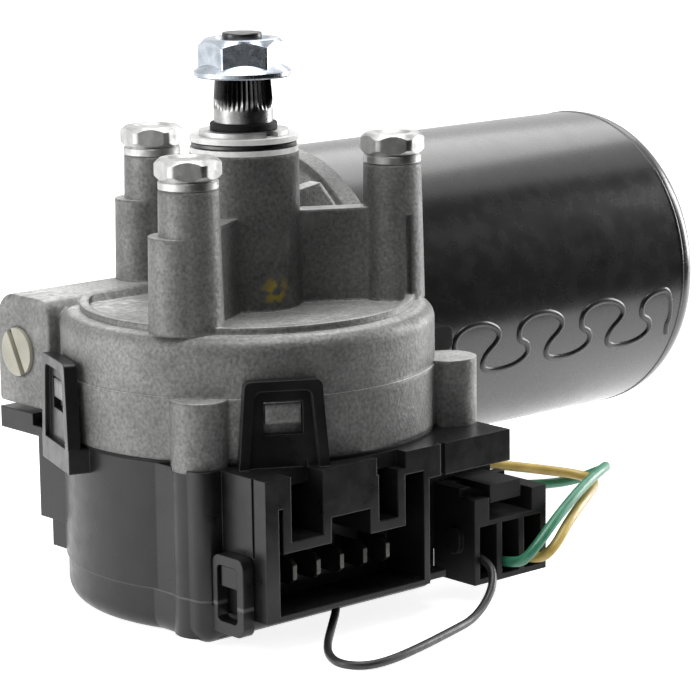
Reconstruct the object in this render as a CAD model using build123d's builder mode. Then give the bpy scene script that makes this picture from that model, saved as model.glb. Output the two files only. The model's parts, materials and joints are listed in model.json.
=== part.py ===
"""Wiper motor: a permanent-magnet motor driving a serrated output spindle through a worm and wheel.

Frame: origin on the spindle axis at the plane of the three mounting pillars, +Z up the spindle,
+X along the motor can. All sizes in millimetres.
"""
import os
from math import atan2, cos, degrees, pi, radians, sin, tan

from build123d import *

os.makedirs("parts", exist_ok=True)

# ---- gear pair -----------------------------------------------------------------------------------
gear_module = 0.9
wheel_teeth = 54
worm_pitch_r = 3.7
tooth_addendum = 0.8
tooth_dedendum = 0.95
thread_width = 1.05
tooth_backlash = 0.30
flank_angle = 20.0
worm_turns = 8
wheel_width = 8.0

wheel_pitch_r = gear_module * wheel_teeth / 2
centre_distance = wheel_pitch_r + worm_pitch_r
worm_lead = pi * gear_module
lead_angle = degrees(atan2(worm_lead, 2 * pi * worm_pitch_r))

# ---- heights above the mounting face (z = 0) -----------------------------------------------------
tube_top_z = 3.0
roof_z = -23.2
roof_wall = 2.4
drum_bottom_z = -43.4
can_z = -31.6
can_y = centre_distance
gasket_thick = 0.6
cover_top_z = drum_bottom_z - gasket_thick
lid_split_z = -65.2
lid_bottom_z = -73.0

# ---- gear housing --------------------------------------------------------------------------------
drum_r = 32.2
drum_wall = 2.4
drum_edge_r = 2.6
parting_z = -33.0
parting_step = 0.3
ridge_outer_r = drum_r - 3.8
ridge_width = 1.5
ridge_height = 1.1
tube_r = 9.25
pillar_pcd = 51.0
pillar_r = 4.95
pillar_angles = (90, 210, 330)
pillar_step_z = -7.5
pillar_step_shift = 1.8
pillar_step_angles = {90: 150, 210: 150}
pillar_draft = 1.1
pillar_groove_width = 1.2
pillar_groove_angle = -99.5
web_thick = 4.2
web_top_z = -7.3
gusset_top_z = -6.8
tunnel_end_x = -28.0
tunnel_back = 6.3
tunnel_front = 9.0
tunnel_top_z = -21.8
tunnel_bottom_z = -41.0
tunnel_corner_r = 4.6
tunnel_end_edge_r = 0.7
flange_front_x = 28.5
flange_thick = 4.0
flange_r = 29.8
horn_start_x = 10.0
horn_start_r = 16.5
spigot_len = 2.5
spigot_wall = 2.5

# ---- cover screws and their lugs -----------------------------------------------------------------
screw_r = 1.9
screw_boss_r = 3.6
lug_r = 4.9
lug_bottom_z = cover_top_z - 0.6
# each lug: angle round the drum, distance of its axis from the drum's side, top
lug_places = {"front": (216.0, -1.05, -33.1), "side": (-42.9, 1.9, -32.6), "rear": (81.0, 3.2, -32.6)}
lugs = {
    name: ((drum_r + out) * cos(radians(angle)), (drum_r + out) * sin(radians(angle)), top)
    for name, (angle, out, top) in lug_places.items()
}
screw_depth = 9.0

# ---- mounting bolts ------------------------------------------------------------------------------
bolt_r = 3.0
bolt_head_af = 10.0
bolt_head_height = 3.6
bolt_reach = 14.0
lock_washer_r = 4.95
lock_washer_thick = 1.6
lock_washer_gap = 0.9

# ---- output spindle ------------------------------------------------------------------------------
spindle_r = 5.0
spindle_bottom_z = -46.5
taper_bottom_z = 10.0
taper_top_z = 18.2
taper_top_r = 4.45
spindle_thread_r = 4.0
spindle_tip_z = 22.9
serration_count = 36
serration_depth = 0.35
bush_r = 7.0
bush_length = 9.0
running_gap = 0.04
nut_af = 13.0
nut_bottom_z = 15.6
nut_top_z = 22.0
nut_flange_r = 8.2
nut_flange_thick = 1.1

# ---- motor can -----------------------------------------------------------------------------------
can_r = 29.3
can_wall = 1.9
can_seam_x = 108.5
cap_end_x = 113.0
cap_edge_r = 4.0
magnet_thick = 5.6
magnet_span = 140.0
air_gap = 0.6
core_start_x = 56.0
core_length = 36.0
core_slots = 12
armature_shaft_r = 4.0
commutator_r = 9.5
commutator_start_x = 41.0
commutator_length = 11.0
front_bearing_r = 9.5
front_bearing_width = 6.0
rear_bush_r = 6.5
rear_bush_width = 7.0

# ---- plastic cover and its connectors ------------------------------------------------------------
plastic_wall = 2.0
cover_r = drum_r - 0.2
cover_left_x = -(cover_r - 4.0)
cover_back_y = cover_r - 9.0
cover_right_x = cover_r - 4.4
column_left_x = -(cover_r - 2.3)
lid_front_y = -(cover_r - 8.0)
shroud_front_y = -35.0
shroud_back_y = -24.0
shroud_left_x = -25.6
shroud_right_x = 9.6
shroud_bottom_z = -67.4
roof_right_x = 28.2
roof_top_z = cover_top_z
roof_bottom_z = -49.4
blade_pitch = 5.03
blade_first_x = -17.75
blade_count = 5
blade_height = 4.2
blade_thick = 0.8
blade_z = -60.7
blade_tip_y = -32.6
plug_left_x = 19.6
plug_right_x = 36.5
plug_front_y = -35.3
plug_back_y = -25.2
plug_top_z = -53.6
plug_bottom_z = -69.8

seat_gap = 0.3


def across(x):
    """Plane square to the motor axis at x, with local x along +Y and local y up."""
    return Plane(origin=(x, can_y, can_z), x_dir=(0, 1, 0), z_dir=(1, 0, 0))


def facing(y):
    """Plane parallel to the connector's mouth at y, drawn in X and Z, with its normal along -Y."""
    return Plane(origin=(0, y, 0), x_dir=(1, 0, 0), z_dir=(0, -1, 0))


def radial(angle, r, z):
    """Plane standing on the drum's side at an angle, with local x tangential and local y up."""
    a = radians(angle)
    return Plane(origin=(r * cos(a), r * sin(a), z), x_dir=(-sin(a), cos(a), 0), z_dir=(cos(a), sin(a), 0))


def pillar_xy(angle):
    return (pillar_pcd / 2 * cos(radians(angle)), pillar_pcd / 2 * sin(radians(angle)))


def keep(part, name):
    part.label = name
    export_step(part, f"parts/{name}.step")
    print(f"{name:24s} {part.volume:10.1f} mm3  valid {part.is_valid}")


# ---- snap clips of the cover, each over a tooth of the housing -----------------------------------
clip_angles = (240.0, 161.0)
clip_width = 15.0
clip_top_width = 12.6
clip_rim = 2.2
clip_border = 1.7
clip_corner_r = 1.2
clip_foot_width = 15.2
clip_top_z = -29.6
clip_thick = 1.3
clip_window = 6.4
clip_window_top_z = -33.2
clip_window_bottom_z = -38.6
tooth_bottom_z = -36.6
tooth_reach = 1.5
clip_face_r = drum_r + seat_gap


# ==== gear housing: one die casting ===============================================================
with BuildPart() as worm_tunnel:
    with BuildSketch(across(tunnel_end_x)):
        with BuildLine():
            FilletPolyline(
                (-tunnel_front, tunnel_bottom_z - can_z),
                (tunnel_back, tunnel_bottom_z - can_z),
                (tunnel_back, tunnel_top_z - can_z),
                (-tunnel_front, tunnel_top_z - can_z),
                radius=[0.8, 0.8, tunnel_corner_r, 3.0],
                close=True,
            )
        make_face()
    extrude(amount=flange_front_x - tunnel_end_x)
    fillet(worm_tunnel.edges().group_by(Axis.X)[0], tunnel_end_edge_r)

with BuildPart() as gear_housing:
    with BuildSketch(Plane.XZ):
        Polygon(
            (0, drum_bottom_z), (drum_r, drum_bottom_z), (drum_r, parting_z),
            (drum_r - parting_step, parting_z), (drum_r - parting_step, roof_z), (0, roof_z), align=None,
        )
    revolve(axis=Axis.Z)
    fillet(gear_housing.edges().group_by(Axis.Z)[-1], drum_edge_r)
    # ridge ring on the roof
    with BuildSketch(Plane.XY.offset(roof_z)):
        Circle(ridge_outer_r)
        Circle(ridge_outer_r - ridge_width, mode=Mode.SUBTRACT)
    extrude(amount=ridge_height)
    add(worm_tunnel.part)
    # horn that widens from the tunnel to the can's flange
    with BuildSketch(across(horn_start_x)):
        Circle(horn_start_r)
    with BuildSketch(across(flange_front_x)):
        Circle(flange_r - 1.5)
    loft()
    split(bisect_by=Plane.XY.offset(drum_bottom_z), keep=Keep.TOP)
    with BuildSketch(across(flange_front_x)):
        Circle(flange_r)
    extrude(amount=flange_thick)
    with BuildSketch(across(flange_front_x + flange_thick)):
        Circle(can_r - can_wall - running_gap)
        Circle(can_r - can_wall - running_gap - spigot_wall, mode=Mode.SUBTRACT)
    extrude(amount=spigot_len)
    # spindle tube, three pillars and the webs between them
    with BuildSketch(Plane.XY.offset(roof_z)):
        Circle(tube_r)
    extrude(amount=tube_top_z - roof_z)
    for angle in pillar_angles:
        centre = Vector(*pillar_xy(angle))
        with BuildSketch(Plane.XY):
            with Locations(centre):
                Circle(pillar_r)
        extrude(amount=roof_z, taper=-pillar_draft)
        if angle in pillar_step_angles:
            step = Vector(1, 0).rotate(Axis.Z, pillar_step_angles[angle]) * pillar_step_shift
            with BuildSketch(Plane.XY.offset(pillar_step_z)):
                with Locations(centre + step / 2):
                    SlotCenterToCenter(
                        pillar_step_shift, 2 * pillar_r, rotation=pillar_step_angles[angle]
                    )
            extrude(amount=roof_z - pillar_step_z, taper=-pillar_draft)
        else:
            groove_reach = pillar_r + pillar_groove_width / 3
            groove_out = Vector(1, 0).rotate(Axis.Z, pillar_groove_angle) * groove_reach
            with BuildSketch(Plane.XY.offset(pillar_step_z - 1.0)):
                with Locations(centre + groove_out):
                    Rectangle(
                        2 * pillar_groove_width, pillar_groove_width, rotation=pillar_groove_angle
                    )
            extrude(amount=roof_z - pillar_step_z + 2.0, mode=Mode.SUBTRACT)
        with BuildSketch(Plane.XY.offset(web_top_z)):
            with Locations(centre / 2):
                Rectangle(pillar_pcd / 2, web_thick, rotation=angle)
        extrude(amount=roof_z - web_top_z)
    # gusset from the tube to the can's flange
    with BuildSketch(Plane.XZ.offset(-7.0)):
        with BuildLine():
            Polyline(
                (4, roof_z), (4, gusset_top_z), (tube_r, gusset_top_z),
                (flange_front_x - 8.1, gusset_top_z + 1.8),
                (flange_front_x - 4.0, gusset_top_z - 3.4), (flange_front_x, gusset_top_z - 3.8),
                (flange_front_x, roof_z), close=True,
            )
        make_face()
    extrude(amount=3.0)
    # screw lugs on the rim
    for x, y, top in lugs.values():
        with BuildSketch(Plane.XY.offset(lug_bottom_z)):
            with Locations((x, y)):
                Circle(lug_r)
        extrude(amount=top - lug_bottom_z)
    with BuildSketch(Plane.XY.offset(lug_bottom_z)):
        Circle(drum_r)
    extrude(amount=drum_bottom_z - lug_bottom_z, mode=Mode.SUBTRACT)
    # teeth for the cover's clips
    for angle in clip_angles:
        with BuildSketch(radial(angle, drum_r - 1.0, 0)):
            with Locations((0, (clip_window_top_z + tooth_bottom_z) / 2 - seat_gap)):
                Rectangle(clip_window - 2 * seat_gap, clip_window_top_z - tooth_bottom_z - seat_gap)
        extrude(amount=tooth_reach + 1.0)
    # gear chamber, open below, with a boss kept round the front screw
    with BuildSketch(Plane.XY.offset(drum_bottom_z)):
        Circle(drum_r - drum_wall)
        with Locations(lugs["front"][:2]):
            Circle(screw_boss_r, mode=Mode.SUBTRACT)
    extrude(amount=roof_z - roof_wall - drum_bottom_z, mode=Mode.SUBTRACT)
    for x, y, top in lugs.values():
        with BuildSketch(Plane.XY.offset(lug_bottom_z)):
            with Locations((x, y)):
                Circle(screw_r)
        extrude(amount=screw_depth, mode=Mode.SUBTRACT)
    # worm bore, end-play screw hole, bearing seat and can opening
    worm_bore_r = worm_pitch_r + tooth_addendum + 0.4
    plug_r = 4.2
    with BuildSketch(across(tunnel_end_x)):
        Circle(plug_r)
    extrude(amount=flange_front_x - tunnel_end_x, mode=Mode.SUBTRACT)
    with BuildSketch(across(-20.0)):
        Circle(worm_bore_r)
    extrude(amount=flange_front_x + 20.0, mode=Mode.SUBTRACT)
    bearing_x = flange_front_x + flange_thick - front_bearing_width
    with BuildSketch(across(bearing_x)):
        Circle(front_bearing_r)
    extrude(amount=front_bearing_width, mode=Mode.SUBTRACT)
    # spindle bore with bush seats, and threaded holes in the pillars
    with BuildSketch(Plane.XY.offset(roof_z - roof_wall)):
        Circle(bush_r)
    extrude(amount=tube_top_z - roof_z + roof_wall, mode=Mode.SUBTRACT)
    for angle in pillar_angles:
        with BuildSketch(Plane.XY):
            with Locations(pillar_xy(angle)):
                Circle(bolt_r)
        extrude(amount=-bolt_reach - 1.0, mode=Mode.SUBTRACT)
keep(gear_housing.part, "gear_housing")


# ==== output spindle, its bushes, wheel and retaining stack =======================================
wheel_z = can_z
wheel_hub_r = 9.0
wheel_hub_width = 11.9
wheel_web = 3.2
wheel_rim = 4.0
upper_bush_z = tube_top_z - bush_length - 1.0
lower_bush_z = roof_z - roof_wall

with BuildPart() as output_spindle:
    with BuildSketch(Plane.XZ):
        with BuildLine():
            Polyline(
                (0, spindle_bottom_z),
                (spindle_r - 0.6, spindle_bottom_z),
                (spindle_r, spindle_bottom_z + 0.6),
                (spindle_r, taper_bottom_z),
                (taper_top_r, taper_top_z),
                (spindle_thread_r, taper_top_z + 0.4),
                (spindle_thread_r, spindle_tip_z - 0.8),
                (spindle_thread_r - 0.8, spindle_tip_z),
                (0, spindle_tip_z),
                close=True,
            )
        make_face()
    revolve(axis=Axis.Z)
    # serrations round the taper
    taper_lean = degrees(atan2(spindle_r - taper_top_r, taper_top_z - taper_bottom_z))
    taper_run = (-sin(radians(taper_lean)), 0, cos(radians(taper_lean)))
    groove_start = Plane(origin=(spindle_r, 0, taper_bottom_z + 0.3), x_dir=(0, 1, 0), z_dir=taper_run)
    with BuildSketch(groove_start) as groove:
        RegularPolygon(2 * serration_depth, 3, rotation=-90)
    serration = extrude(groove.sketch, amount=taper_top_z - taper_bottom_z, mode=Mode.PRIVATE)
    with PolarLocations(0, serration_count):
        add(serration, mode=Mode.SUBTRACT)
keep(output_spindle.part, "output_spindle")

for name, bottom in (("upper_bush", upper_bush_z), ("lower_bush", lower_bush_z)):
    with BuildPart() as bush:
        with BuildSketch(Plane.XY.offset(bottom)):
            Circle(bush_r)
            Circle(spindle_r + running_gap, mode=Mode.SUBTRACT)
        extrude(amount=bush_length)
        chamfer(bush.edges().filter_by(GeomType.CIRCLE).group_by(Axis.Z)[-1], 0.4)
    keep(bush.part, name)


def wheel_outline(turn):
    """Toothed rim in the current sketch, with a gap centred on local +Y at turn 0."""
    half_pitch = pi / wheel_teeth
    half_tooth = (pi * gear_module - thread_width - tooth_backlash) / 2 / wheel_pitch_r
    lean = tan(radians(flank_angle))
    tip_r = wheel_pitch_r + tooth_addendum
    root_r = wheel_pitch_r - tooth_dedendum
    tip_half = half_tooth - tooth_addendum * lean / wheel_pitch_r
    root_half = half_tooth + tooth_dedendum * lean / wheel_pitch_r
    points = []
    for tooth in range(wheel_teeth):
        middle = pi / 2 + radians(turn) + half_pitch * (2 * tooth + 1)
        for r, offset in ((root_r, -root_half), (tip_r, -tip_half), (tip_r, tip_half), (root_r, root_half)):
            points.append((r * cos(middle + offset), r * sin(middle + offset)))
    Polygon(*points, align=None)


helix_turn = degrees(wheel_width / 2 * tan(radians(lead_angle)) / wheel_pitch_r)
with BuildPart() as worm_wheel:
    with BuildSketch(Plane.XY.offset(wheel_z - wheel_width / 2)):
        wheel_outline(-helix_turn)
    with BuildSketch(Plane.XY.offset(wheel_z + wheel_width / 2)):
        wheel_outline(helix_turn)
    loft(ruled=True)
    rim_inner_r = wheel_pitch_r - tooth_dedendum - wheel_rim
    for side in (-1, 1):
        with BuildSketch(Plane.XY.offset(wheel_z + side * wheel_web / 2)):
            Circle(rim_inner_r)
        extrude(amount=side * wheel_width, mode=Mode.SUBTRACT)
    with BuildSketch(Plane.XY.offset(wheel_z - wheel_hub_width / 2)):
        Circle(wheel_hub_r)
    extrude(amount=wheel_hub_width)
    with BuildSketch(Plane.XY.offset(wheel_z - wheel_width / 2)):
        with PolarLocations((rim_inner_r + wheel_hub_r) / 2, 6):
            Rectangle(rim_inner_r - wheel_hub_r + 1.0, 1.8)
    extrude(amount=wheel_width)
    with BuildSketch(Plane.XY.offset(wheel_z - wheel_hub_width)):
        Circle(spindle_r)
    extrude(amount=2 * wheel_hub_width, mode=Mode.SUBTRACT)
keep(worm_wheel.part, "worm_wheel")

# switching disc under the wheel: brass, with the step that the park contact rides on
disc_top_z = wheel_z - wheel_hub_width / 2
disc_thick = 1.0
with BuildPart() as park_disc:
    with BuildSketch(Plane.XY.offset(disc_top_z)):
        Circle(17.5)
        Circle(spindle_r, mode=Mode.SUBTRACT)
        with BuildLine():
            ring_out = CenterArc((0, 0), 18.5, 60, 50)
            ring_in = CenterArc((0, 0), 14.5, 60, 50)
            Line(ring_out @ 0, ring_in @ 0)
            Line(ring_out @ 1, ring_in @ 1)
        make_face(mode=Mode.SUBTRACT)
    extrude(amount=-disc_thick)
keep(park_disc.part, "park_disc")

# stack on top of the tube: washer, wave washer, washer, retaining ring, seal
stack_r = 9.2
washer_thick = 0.9
wave_thick = 0.5
wave_rise = 1.0
stack_z = tube_top_z


with BuildPart() as thrust_washers:
    for bottom in (stack_z, stack_z + washer_thick + wave_rise):
        with BuildSketch(Plane.XY.offset(bottom)):
            Circle(stack_r)
            Circle(spindle_r + 0.2, mode=Mode.SUBTRACT)
        extrude(amount=washer_thick)
keep(thrust_washers.part, "thrust_washers")

with BuildPart() as wave_washer:
    with BuildSketch(Plane.XY.offset(stack_z + washer_thick + (wave_rise - wave_thick) / 2)):
        Circle(stack_r - 0.3)
        Circle(spindle_r + 0.3, mode=Mode.SUBTRACT)
    extrude(amount=wave_thick)
keep(wave_washer.part, "wave_washer")

ring_z = stack_z + 2 * washer_thick + wave_rise + 0.05
with BuildPart() as retaining_ring:
    with BuildSketch(Plane.XY.offset(ring_z)):
        Circle(spindle_r + 2.6)
        Circle(spindle_r, mode=Mode.SUBTRACT)
        with Locations((0, -spindle_r - 1.5)):
            Rectangle(2.4, 4.0, mode=Mode.SUBTRACT)
    extrude(amount=0.8)
keep(retaining_ring.part, "retaining_ring")

with BuildPart() as spindle_seal:
    with BuildSketch(Plane.XY.offset(ring_z + 0.8)):
        Circle(spindle_r + 1.0)
        Circle(spindle_r, mode=Mode.SUBTRACT)
    extrude(amount=1.6)
    fillet(spindle_seal.edges().filter_by(GeomType.CIRCLE).sort_by(SortBy.RADIUS)[-2:], 0.6)
keep(spindle_seal.part, "spindle_seal")

with BuildPart() as flange_nut:
    with BuildSketch(Plane.XY.offset(nut_bottom_z)):
        Circle(nut_flange_r)
    extrude(amount=nut_flange_thick)
    with BuildSketch(Plane.XY.offset(nut_bottom_z + nut_flange_thick)):
        RegularPolygon(nut_af / 2, 6, major_radius=False)
    extrude(amount=nut_top_z - nut_bottom_z - nut_flange_thick)
    # the flange's cone up to the flats
    with BuildSketch(Plane.XZ):
        with BuildLine():
            Polyline(
                (0, nut_bottom_z), (nut_flange_r, nut_bottom_z + nut_flange_thick),
                (nut_af / 2, nut_bottom_z + 2.0 * nut_flange_thick),
                (0, nut_bottom_z + 2.0 * nut_flange_thick),
                close=True,
            )
        make_face()
    revolve(axis=Axis.Z)
    # chamfered corners on top, countersunk bore
    nut_corner_r = nut_af / 2 / cos(pi / 6)
    with BuildSketch(Plane.XZ):
        with BuildLine():
            Polyline(
                (0, nut_bottom_z - 1), (nut_corner_r + 2, nut_bottom_z - 1),
                (nut_corner_r + 2, nut_top_z - 1.55), (nut_af / 2 - 0.2, nut_top_z), (0, nut_top_z),
                close=True,
            )
        make_face()
    revolve(axis=Axis.Z, mode=Mode.INTERSECT)
    with BuildSketch(Plane.XZ):
        with BuildLine():
            Polyline(
                (0, nut_bottom_z - 0.1), (taper_top_r + 0.4, nut_bottom_z - 0.1),
                (taper_top_r + 0.4, taper_top_z + 0.4), (spindle_thread_r, taper_top_z + 0.8),
                (spindle_thread_r, nut_top_z - 0.5), (spindle_thread_r + 0.6, nut_top_z + 0.1),
                (0, nut_top_z + 0.1),
                close=True,
            )
        make_face()
    revolve(axis=Axis.Z, mode=Mode.SUBTRACT)
keep(flange_nut.part, "flange_nut")

# ==== mounting bolts and their spring washers =====================================================
with BuildPart() as mounting_bolts:
    for angle in pillar_angles:
        with BuildSketch(Plane.XY.offset(lock_washer_thick)):
            with Locations(pillar_xy(angle)):
                RegularPolygon(bolt_head_af / 2, 6, major_radius=False, rotation=8 if angle == 330 else -14)
        extrude(amount=bolt_head_height)
        with BuildSketch(Plane.XY.offset(lock_washer_thick + bolt_head_height)):
            with Locations(pillar_xy(angle)):
                Circle(2.6)
        extrude(amount=-0.7, mode=Mode.SUBTRACT)
        with BuildSketch(Plane.XY.offset(lock_washer_thick)):
            with Locations(pillar_xy(angle)):
                Circle(bolt_r)
        extrude(amount=-lock_washer_thick - bolt_reach)
    chamfer(mounting_bolts.edges().filter_by(GeomType.LINE).group_by(Axis.Z)[-1], 0.45)
keep(mounting_bolts.part, "mounting_bolts")

with BuildPart() as lock_washers:
    for angle in pillar_angles:
        with BuildSketch(Plane.XY):
            with Locations(pillar_xy(angle)):
                Circle(lock_washer_r)
                Circle(bolt_r + 0.1, mode=Mode.SUBTRACT)
        extrude(amount=lock_washer_thick)
        x, y = pillar_xy(angle)
        with BuildSketch(Plane.XY):
            with Locations((x - 1.2, y - lock_washer_r + 1.0)):
                Rectangle(lock_washer_gap, 3.2, rotation=-8)
        extrude(amount=lock_washer_thick, mode=Mode.SUBTRACT)
keep(lock_washers.part, "lock_washers")

# ==== end-play screw and thrust ball in the tunnel's end ==========================================
armature_end_x = -18.6
ball_r = 2.0
with BuildPart() as end_play_screw:
    with BuildSketch(across(tunnel_end_x - 0.6)):
        Circle(plug_r)
    extrude(amount=armature_end_x - 2 * ball_r - tunnel_end_x + 0.6)
    with BuildSketch(across(tunnel_end_x - 0.6)):
        Rectangle(2 * plug_r + 1, 1.3, rotation=62)
    extrude(amount=1.8, mode=Mode.SUBTRACT)
keep(end_play_screw.part, "end_play_screw")

motor_axis = Axis((0, can_y, can_z), (1, 0, 0))
motor_section = Plane(origin=(0, can_y, can_z), x_dir=(1, 0, 0), z_dir=(0, -1, 0))

ball_x = armature_end_x - ball_r
with BuildPart() as thrust_ball:
    with BuildSketch(Plane(origin=(ball_x, can_y, can_z), x_dir=(1, 0, 0), z_dir=(0, -1, 0))):
        Circle(ball_r)
        Rectangle(2 * ball_r, ball_r, align=(Align.CENTER, Align.MAX), mode=Mode.SUBTRACT)
    revolve(axis=motor_axis)
keep(thrust_ball.part, "thrust_ball")

# ==== armature: shaft with the worm rolled on it, core, windings and commutator ===================
worm_core_r = worm_pitch_r - tooth_dedendum
worm_end_x = worm_turns * worm_lead / 2
armature_tail_x = cap_end_x - 3.0

thread_lean = tan(radians(flank_angle))
thread_tip = thread_width / 2 - tooth_addendum * thread_lean
thread_root = thread_width / 2 + tooth_dedendum * thread_lean
with BuildPart() as worm_thread:
    with BuildLine():
        Helix(pitch=worm_lead, height=worm_turns * worm_lead, radius=worm_pitch_r)
    with BuildSketch(Plane.XZ):
        Polygon(
            (worm_core_r - 0.1, -thread_root), (worm_pitch_r + tooth_addendum, -thread_tip),
            (worm_pitch_r + tooth_addendum, thread_tip), (worm_core_r - 0.1, thread_root), align=None,
        )
    sweep(is_frenet=True)

with BuildPart() as armature_shaft:
    with BuildSketch(motor_section):
        with BuildLine():
            Polyline(
                (armature_end_x + 0.1, 0), (armature_end_x + 0.1, worm_core_r),
                (worm_end_x + 2.0, worm_core_r), (worm_end_x + 3.2, armature_shaft_r),
                (armature_tail_x, armature_shaft_r), (armature_tail_x, 0),
                close=True,
            )
        make_face()
    revolve(axis=motor_axis)
    worm_seat = Plane(origin=(-worm_end_x, can_y, can_z), x_dir=(0, -1, 0), z_dir=(1, 0, 0))
    add(worm_thread.part.moved(worm_seat.location))
keep(armature_shaft.part, "armature_shaft")

magnet_outer_r = can_r - can_wall
core_r = magnet_outer_r - magnet_thick - air_gap
slot_width = 3.4
slot_depth = 8.5
slot_mouth = 1.4
with BuildPart() as armature_core:
    with BuildSketch(across(core_start_x)):
        Circle(core_r)
        Circle(armature_shaft_r, mode=Mode.SUBTRACT)
        with PolarLocations(core_r - 1.6 - slot_depth / 2, core_slots):
            Rectangle(slot_depth, slot_width, mode=Mode.SUBTRACT)
        with PolarLocations(core_r - 1.0, core_slots):
            Rectangle(3.0, slot_mouth, mode=Mode.SUBTRACT)
    extrude(amount=core_length)
keep(armature_core.part, "armature_core")

end_turn_length = 8.0
end_turn_edge_r = 2.4
riser_r = commutator_r + 2.5
end_turn_height = core_r - 1.6 - riser_r
with BuildPart() as armature_windings:
    with BuildSketch(across(core_start_x)):
        with PolarLocations(core_r - 1.6 - slot_depth / 2, core_slots):
            Rectangle(slot_depth - 0.2, slot_width - 0.2)
    extrude(amount=core_length)
    for x, side in ((core_start_x, -1), (core_start_x + core_length, 1)):
        with BuildSketch(motor_section):
            with Locations((x + side * end_turn_length / 2, (core_r - 1.6 + riser_r) / 2)):
                RectangleRounded(
                    end_turn_length, end_turn_height, min(end_turn_edge_r, 0.4 * end_turn_height)
                )
        revolve(axis=motor_axis)
keep(armature_windings.part, "armature_windings")

with BuildPart() as commutator:
    with BuildSketch(across(commutator_start_x)):
        Circle(commutator_r)
        Circle(armature_shaft_r, mode=Mode.SUBTRACT)
        with PolarLocations(commutator_r, core_slots):
            Rectangle(1.6, 0.6, mode=Mode.SUBTRACT)
    extrude(amount=commutator_length)
    with BuildSketch(across(commutator_start_x + commutator_length - 1.6)):
        Circle(riser_r)
        Circle(commutator_r - 1.0, mode=Mode.SUBTRACT)
        with PolarLocations(commutator_r + 0.9, core_slots):
            Rectangle(4.0, 1.8, mode=Mode.SUBTRACT)
    extrude(amount=1.6)
keep(commutator.part, "commutator")

# ==== bearings ====================================================================================
with BuildPart() as front_bearing:
    with BuildSketch(across(bearing_x)):
        Circle(front_bearing_r)
        Circle(armature_shaft_r + running_gap, mode=Mode.SUBTRACT)
    extrude(amount=front_bearing_width)
    for x in (bearing_x, bearing_x + front_bearing_width):
        with BuildSketch(motor_section):
            with Locations((x, (front_bearing_r + armature_shaft_r) / 2)):
                Rectangle(0.8, 2.6)
        revolve(axis=motor_axis, mode=Mode.SUBTRACT)
keep(front_bearing.part, "front_bearing")

with BuildPart() as pilot_bush:
    with BuildSketch(across(armature_end_x + 0.4)):
        Circle(worm_bore_r)
        Circle(worm_core_r + running_gap, mode=Mode.SUBTRACT)
    extrude(amount=5.0)
keep(pilot_bush.part, "pilot_bush")

rear_bush_x = cap_end_x - 3.4 - rear_bush_width
with BuildPart() as rear_bush:
    with BuildSketch(motor_section):
        with BuildLine():
            edge_r = rear_bush_r - 1.2
            Polyline(
                (rear_bush_x, edge_r), (rear_bush_x, armature_shaft_r + running_gap),
                (rear_bush_x + rear_bush_width, armature_shaft_r + running_gap),
                (rear_bush_x + rear_bush_width, edge_r),
            )
            ThreePointArc(
                (rear_bush_x + rear_bush_width, edge_r), (rear_bush_x + rear_bush_width / 2, rear_bush_r),
                (rear_bush_x, edge_r),
            )
        make_face()
    revolve(axis=motor_axis)
keep(rear_bush.part, "rear_bush")

with BuildPart() as bush_retainer:
    with BuildSketch(across(rear_bush_x - 1.2)):
        Circle(rear_bush_r + 3.0)
        Circle(rear_bush_r - 1.0, mode=Mode.SUBTRACT)
        with PolarLocations(rear_bush_r - 0.4, 6):
            Rectangle(3.0, 1.2, mode=Mode.SUBTRACT)
    extrude(amount=0.7)
keep(bush_retainer.part, "bush_retainer")

# ==== motor can, end cap, magnets =================================================================
can_front_x = flange_front_x + flange_thick
with BuildPart() as motor_can:
    with BuildSketch(across(can_front_x)):
        Circle(can_r)
        Circle(magnet_outer_r, mode=Mode.SUBTRACT)
    extrude(amount=can_seam_x - can_front_x)
keep(motor_can.part, "motor_can")

cap_spigot = 3.0
with BuildPart() as can_end_cap:
    with BuildSketch(motor_section):
        with BuildLine():
            FilletPolyline(
                (can_seam_x - cap_spigot, magnet_outer_r - 1.9),
                (can_seam_x - cap_spigot, magnet_outer_r - running_gap),
                (can_seam_x, magnet_outer_r - running_gap),
                (can_seam_x, can_r),
                (cap_end_x, can_r),
                (cap_end_x, 0),
                (cap_end_x - 2.0, 0),
                (cap_end_x - 2.0, rear_bush_r),
                (rear_bush_x - 0.5, rear_bush_r),
                (rear_bush_x - 0.5, rear_bush_r + 3.2),
                (cap_end_x - 2.0, rear_bush_r + 3.2),
                (cap_end_x - 2.0, magnet_outer_r - 1.9),
                radius=[0.2, 0.2, 0, 0, cap_edge_r, 0, 0, 0, 0, 0, 1.0, 2.0],
                close=True,
            )
        make_face()
    revolve(axis=motor_axis)
keep(can_end_cap.part, "can_end_cap")

magnet_start_x = core_start_x - 4.0
magnet_length = core_length + 10.0
with BuildPart() as magnets:
    with BuildSketch(across(magnet_start_x)):
        Circle(magnet_outer_r)
        Circle(magnet_outer_r - magnet_thick, mode=Mode.SUBTRACT)
        gap_width = 2 * magnet_outer_r * sin(radians((180.0 - magnet_span) / 2))
        Rectangle(3 * magnet_outer_r, gap_width, mode=Mode.SUBTRACT)
    extrude(amount=magnet_length)
keep(magnets.part, "magnets")

with BuildPart() as magnet_clips:
    with BuildSketch(across(magnet_start_x + 6.0)):
        Circle(magnet_outer_r)
        Circle(magnet_outer_r - 1.0, mode=Mode.SUBTRACT)
        Rectangle(3 * magnet_outer_r, gap_width - 1.0, mode=Mode.INTERSECT)
        for side in (-1, 1):
            for edge in (-1, 1):
                with Locations((side * (magnet_outer_r - 4.4), edge * (gap_width / 2 - 1.0))):
                    Rectangle(4.4, 1.0)
    extrude(amount=magnet_length - 12.0)
keep(magnet_clips.part, "magnet_clips")

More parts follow.
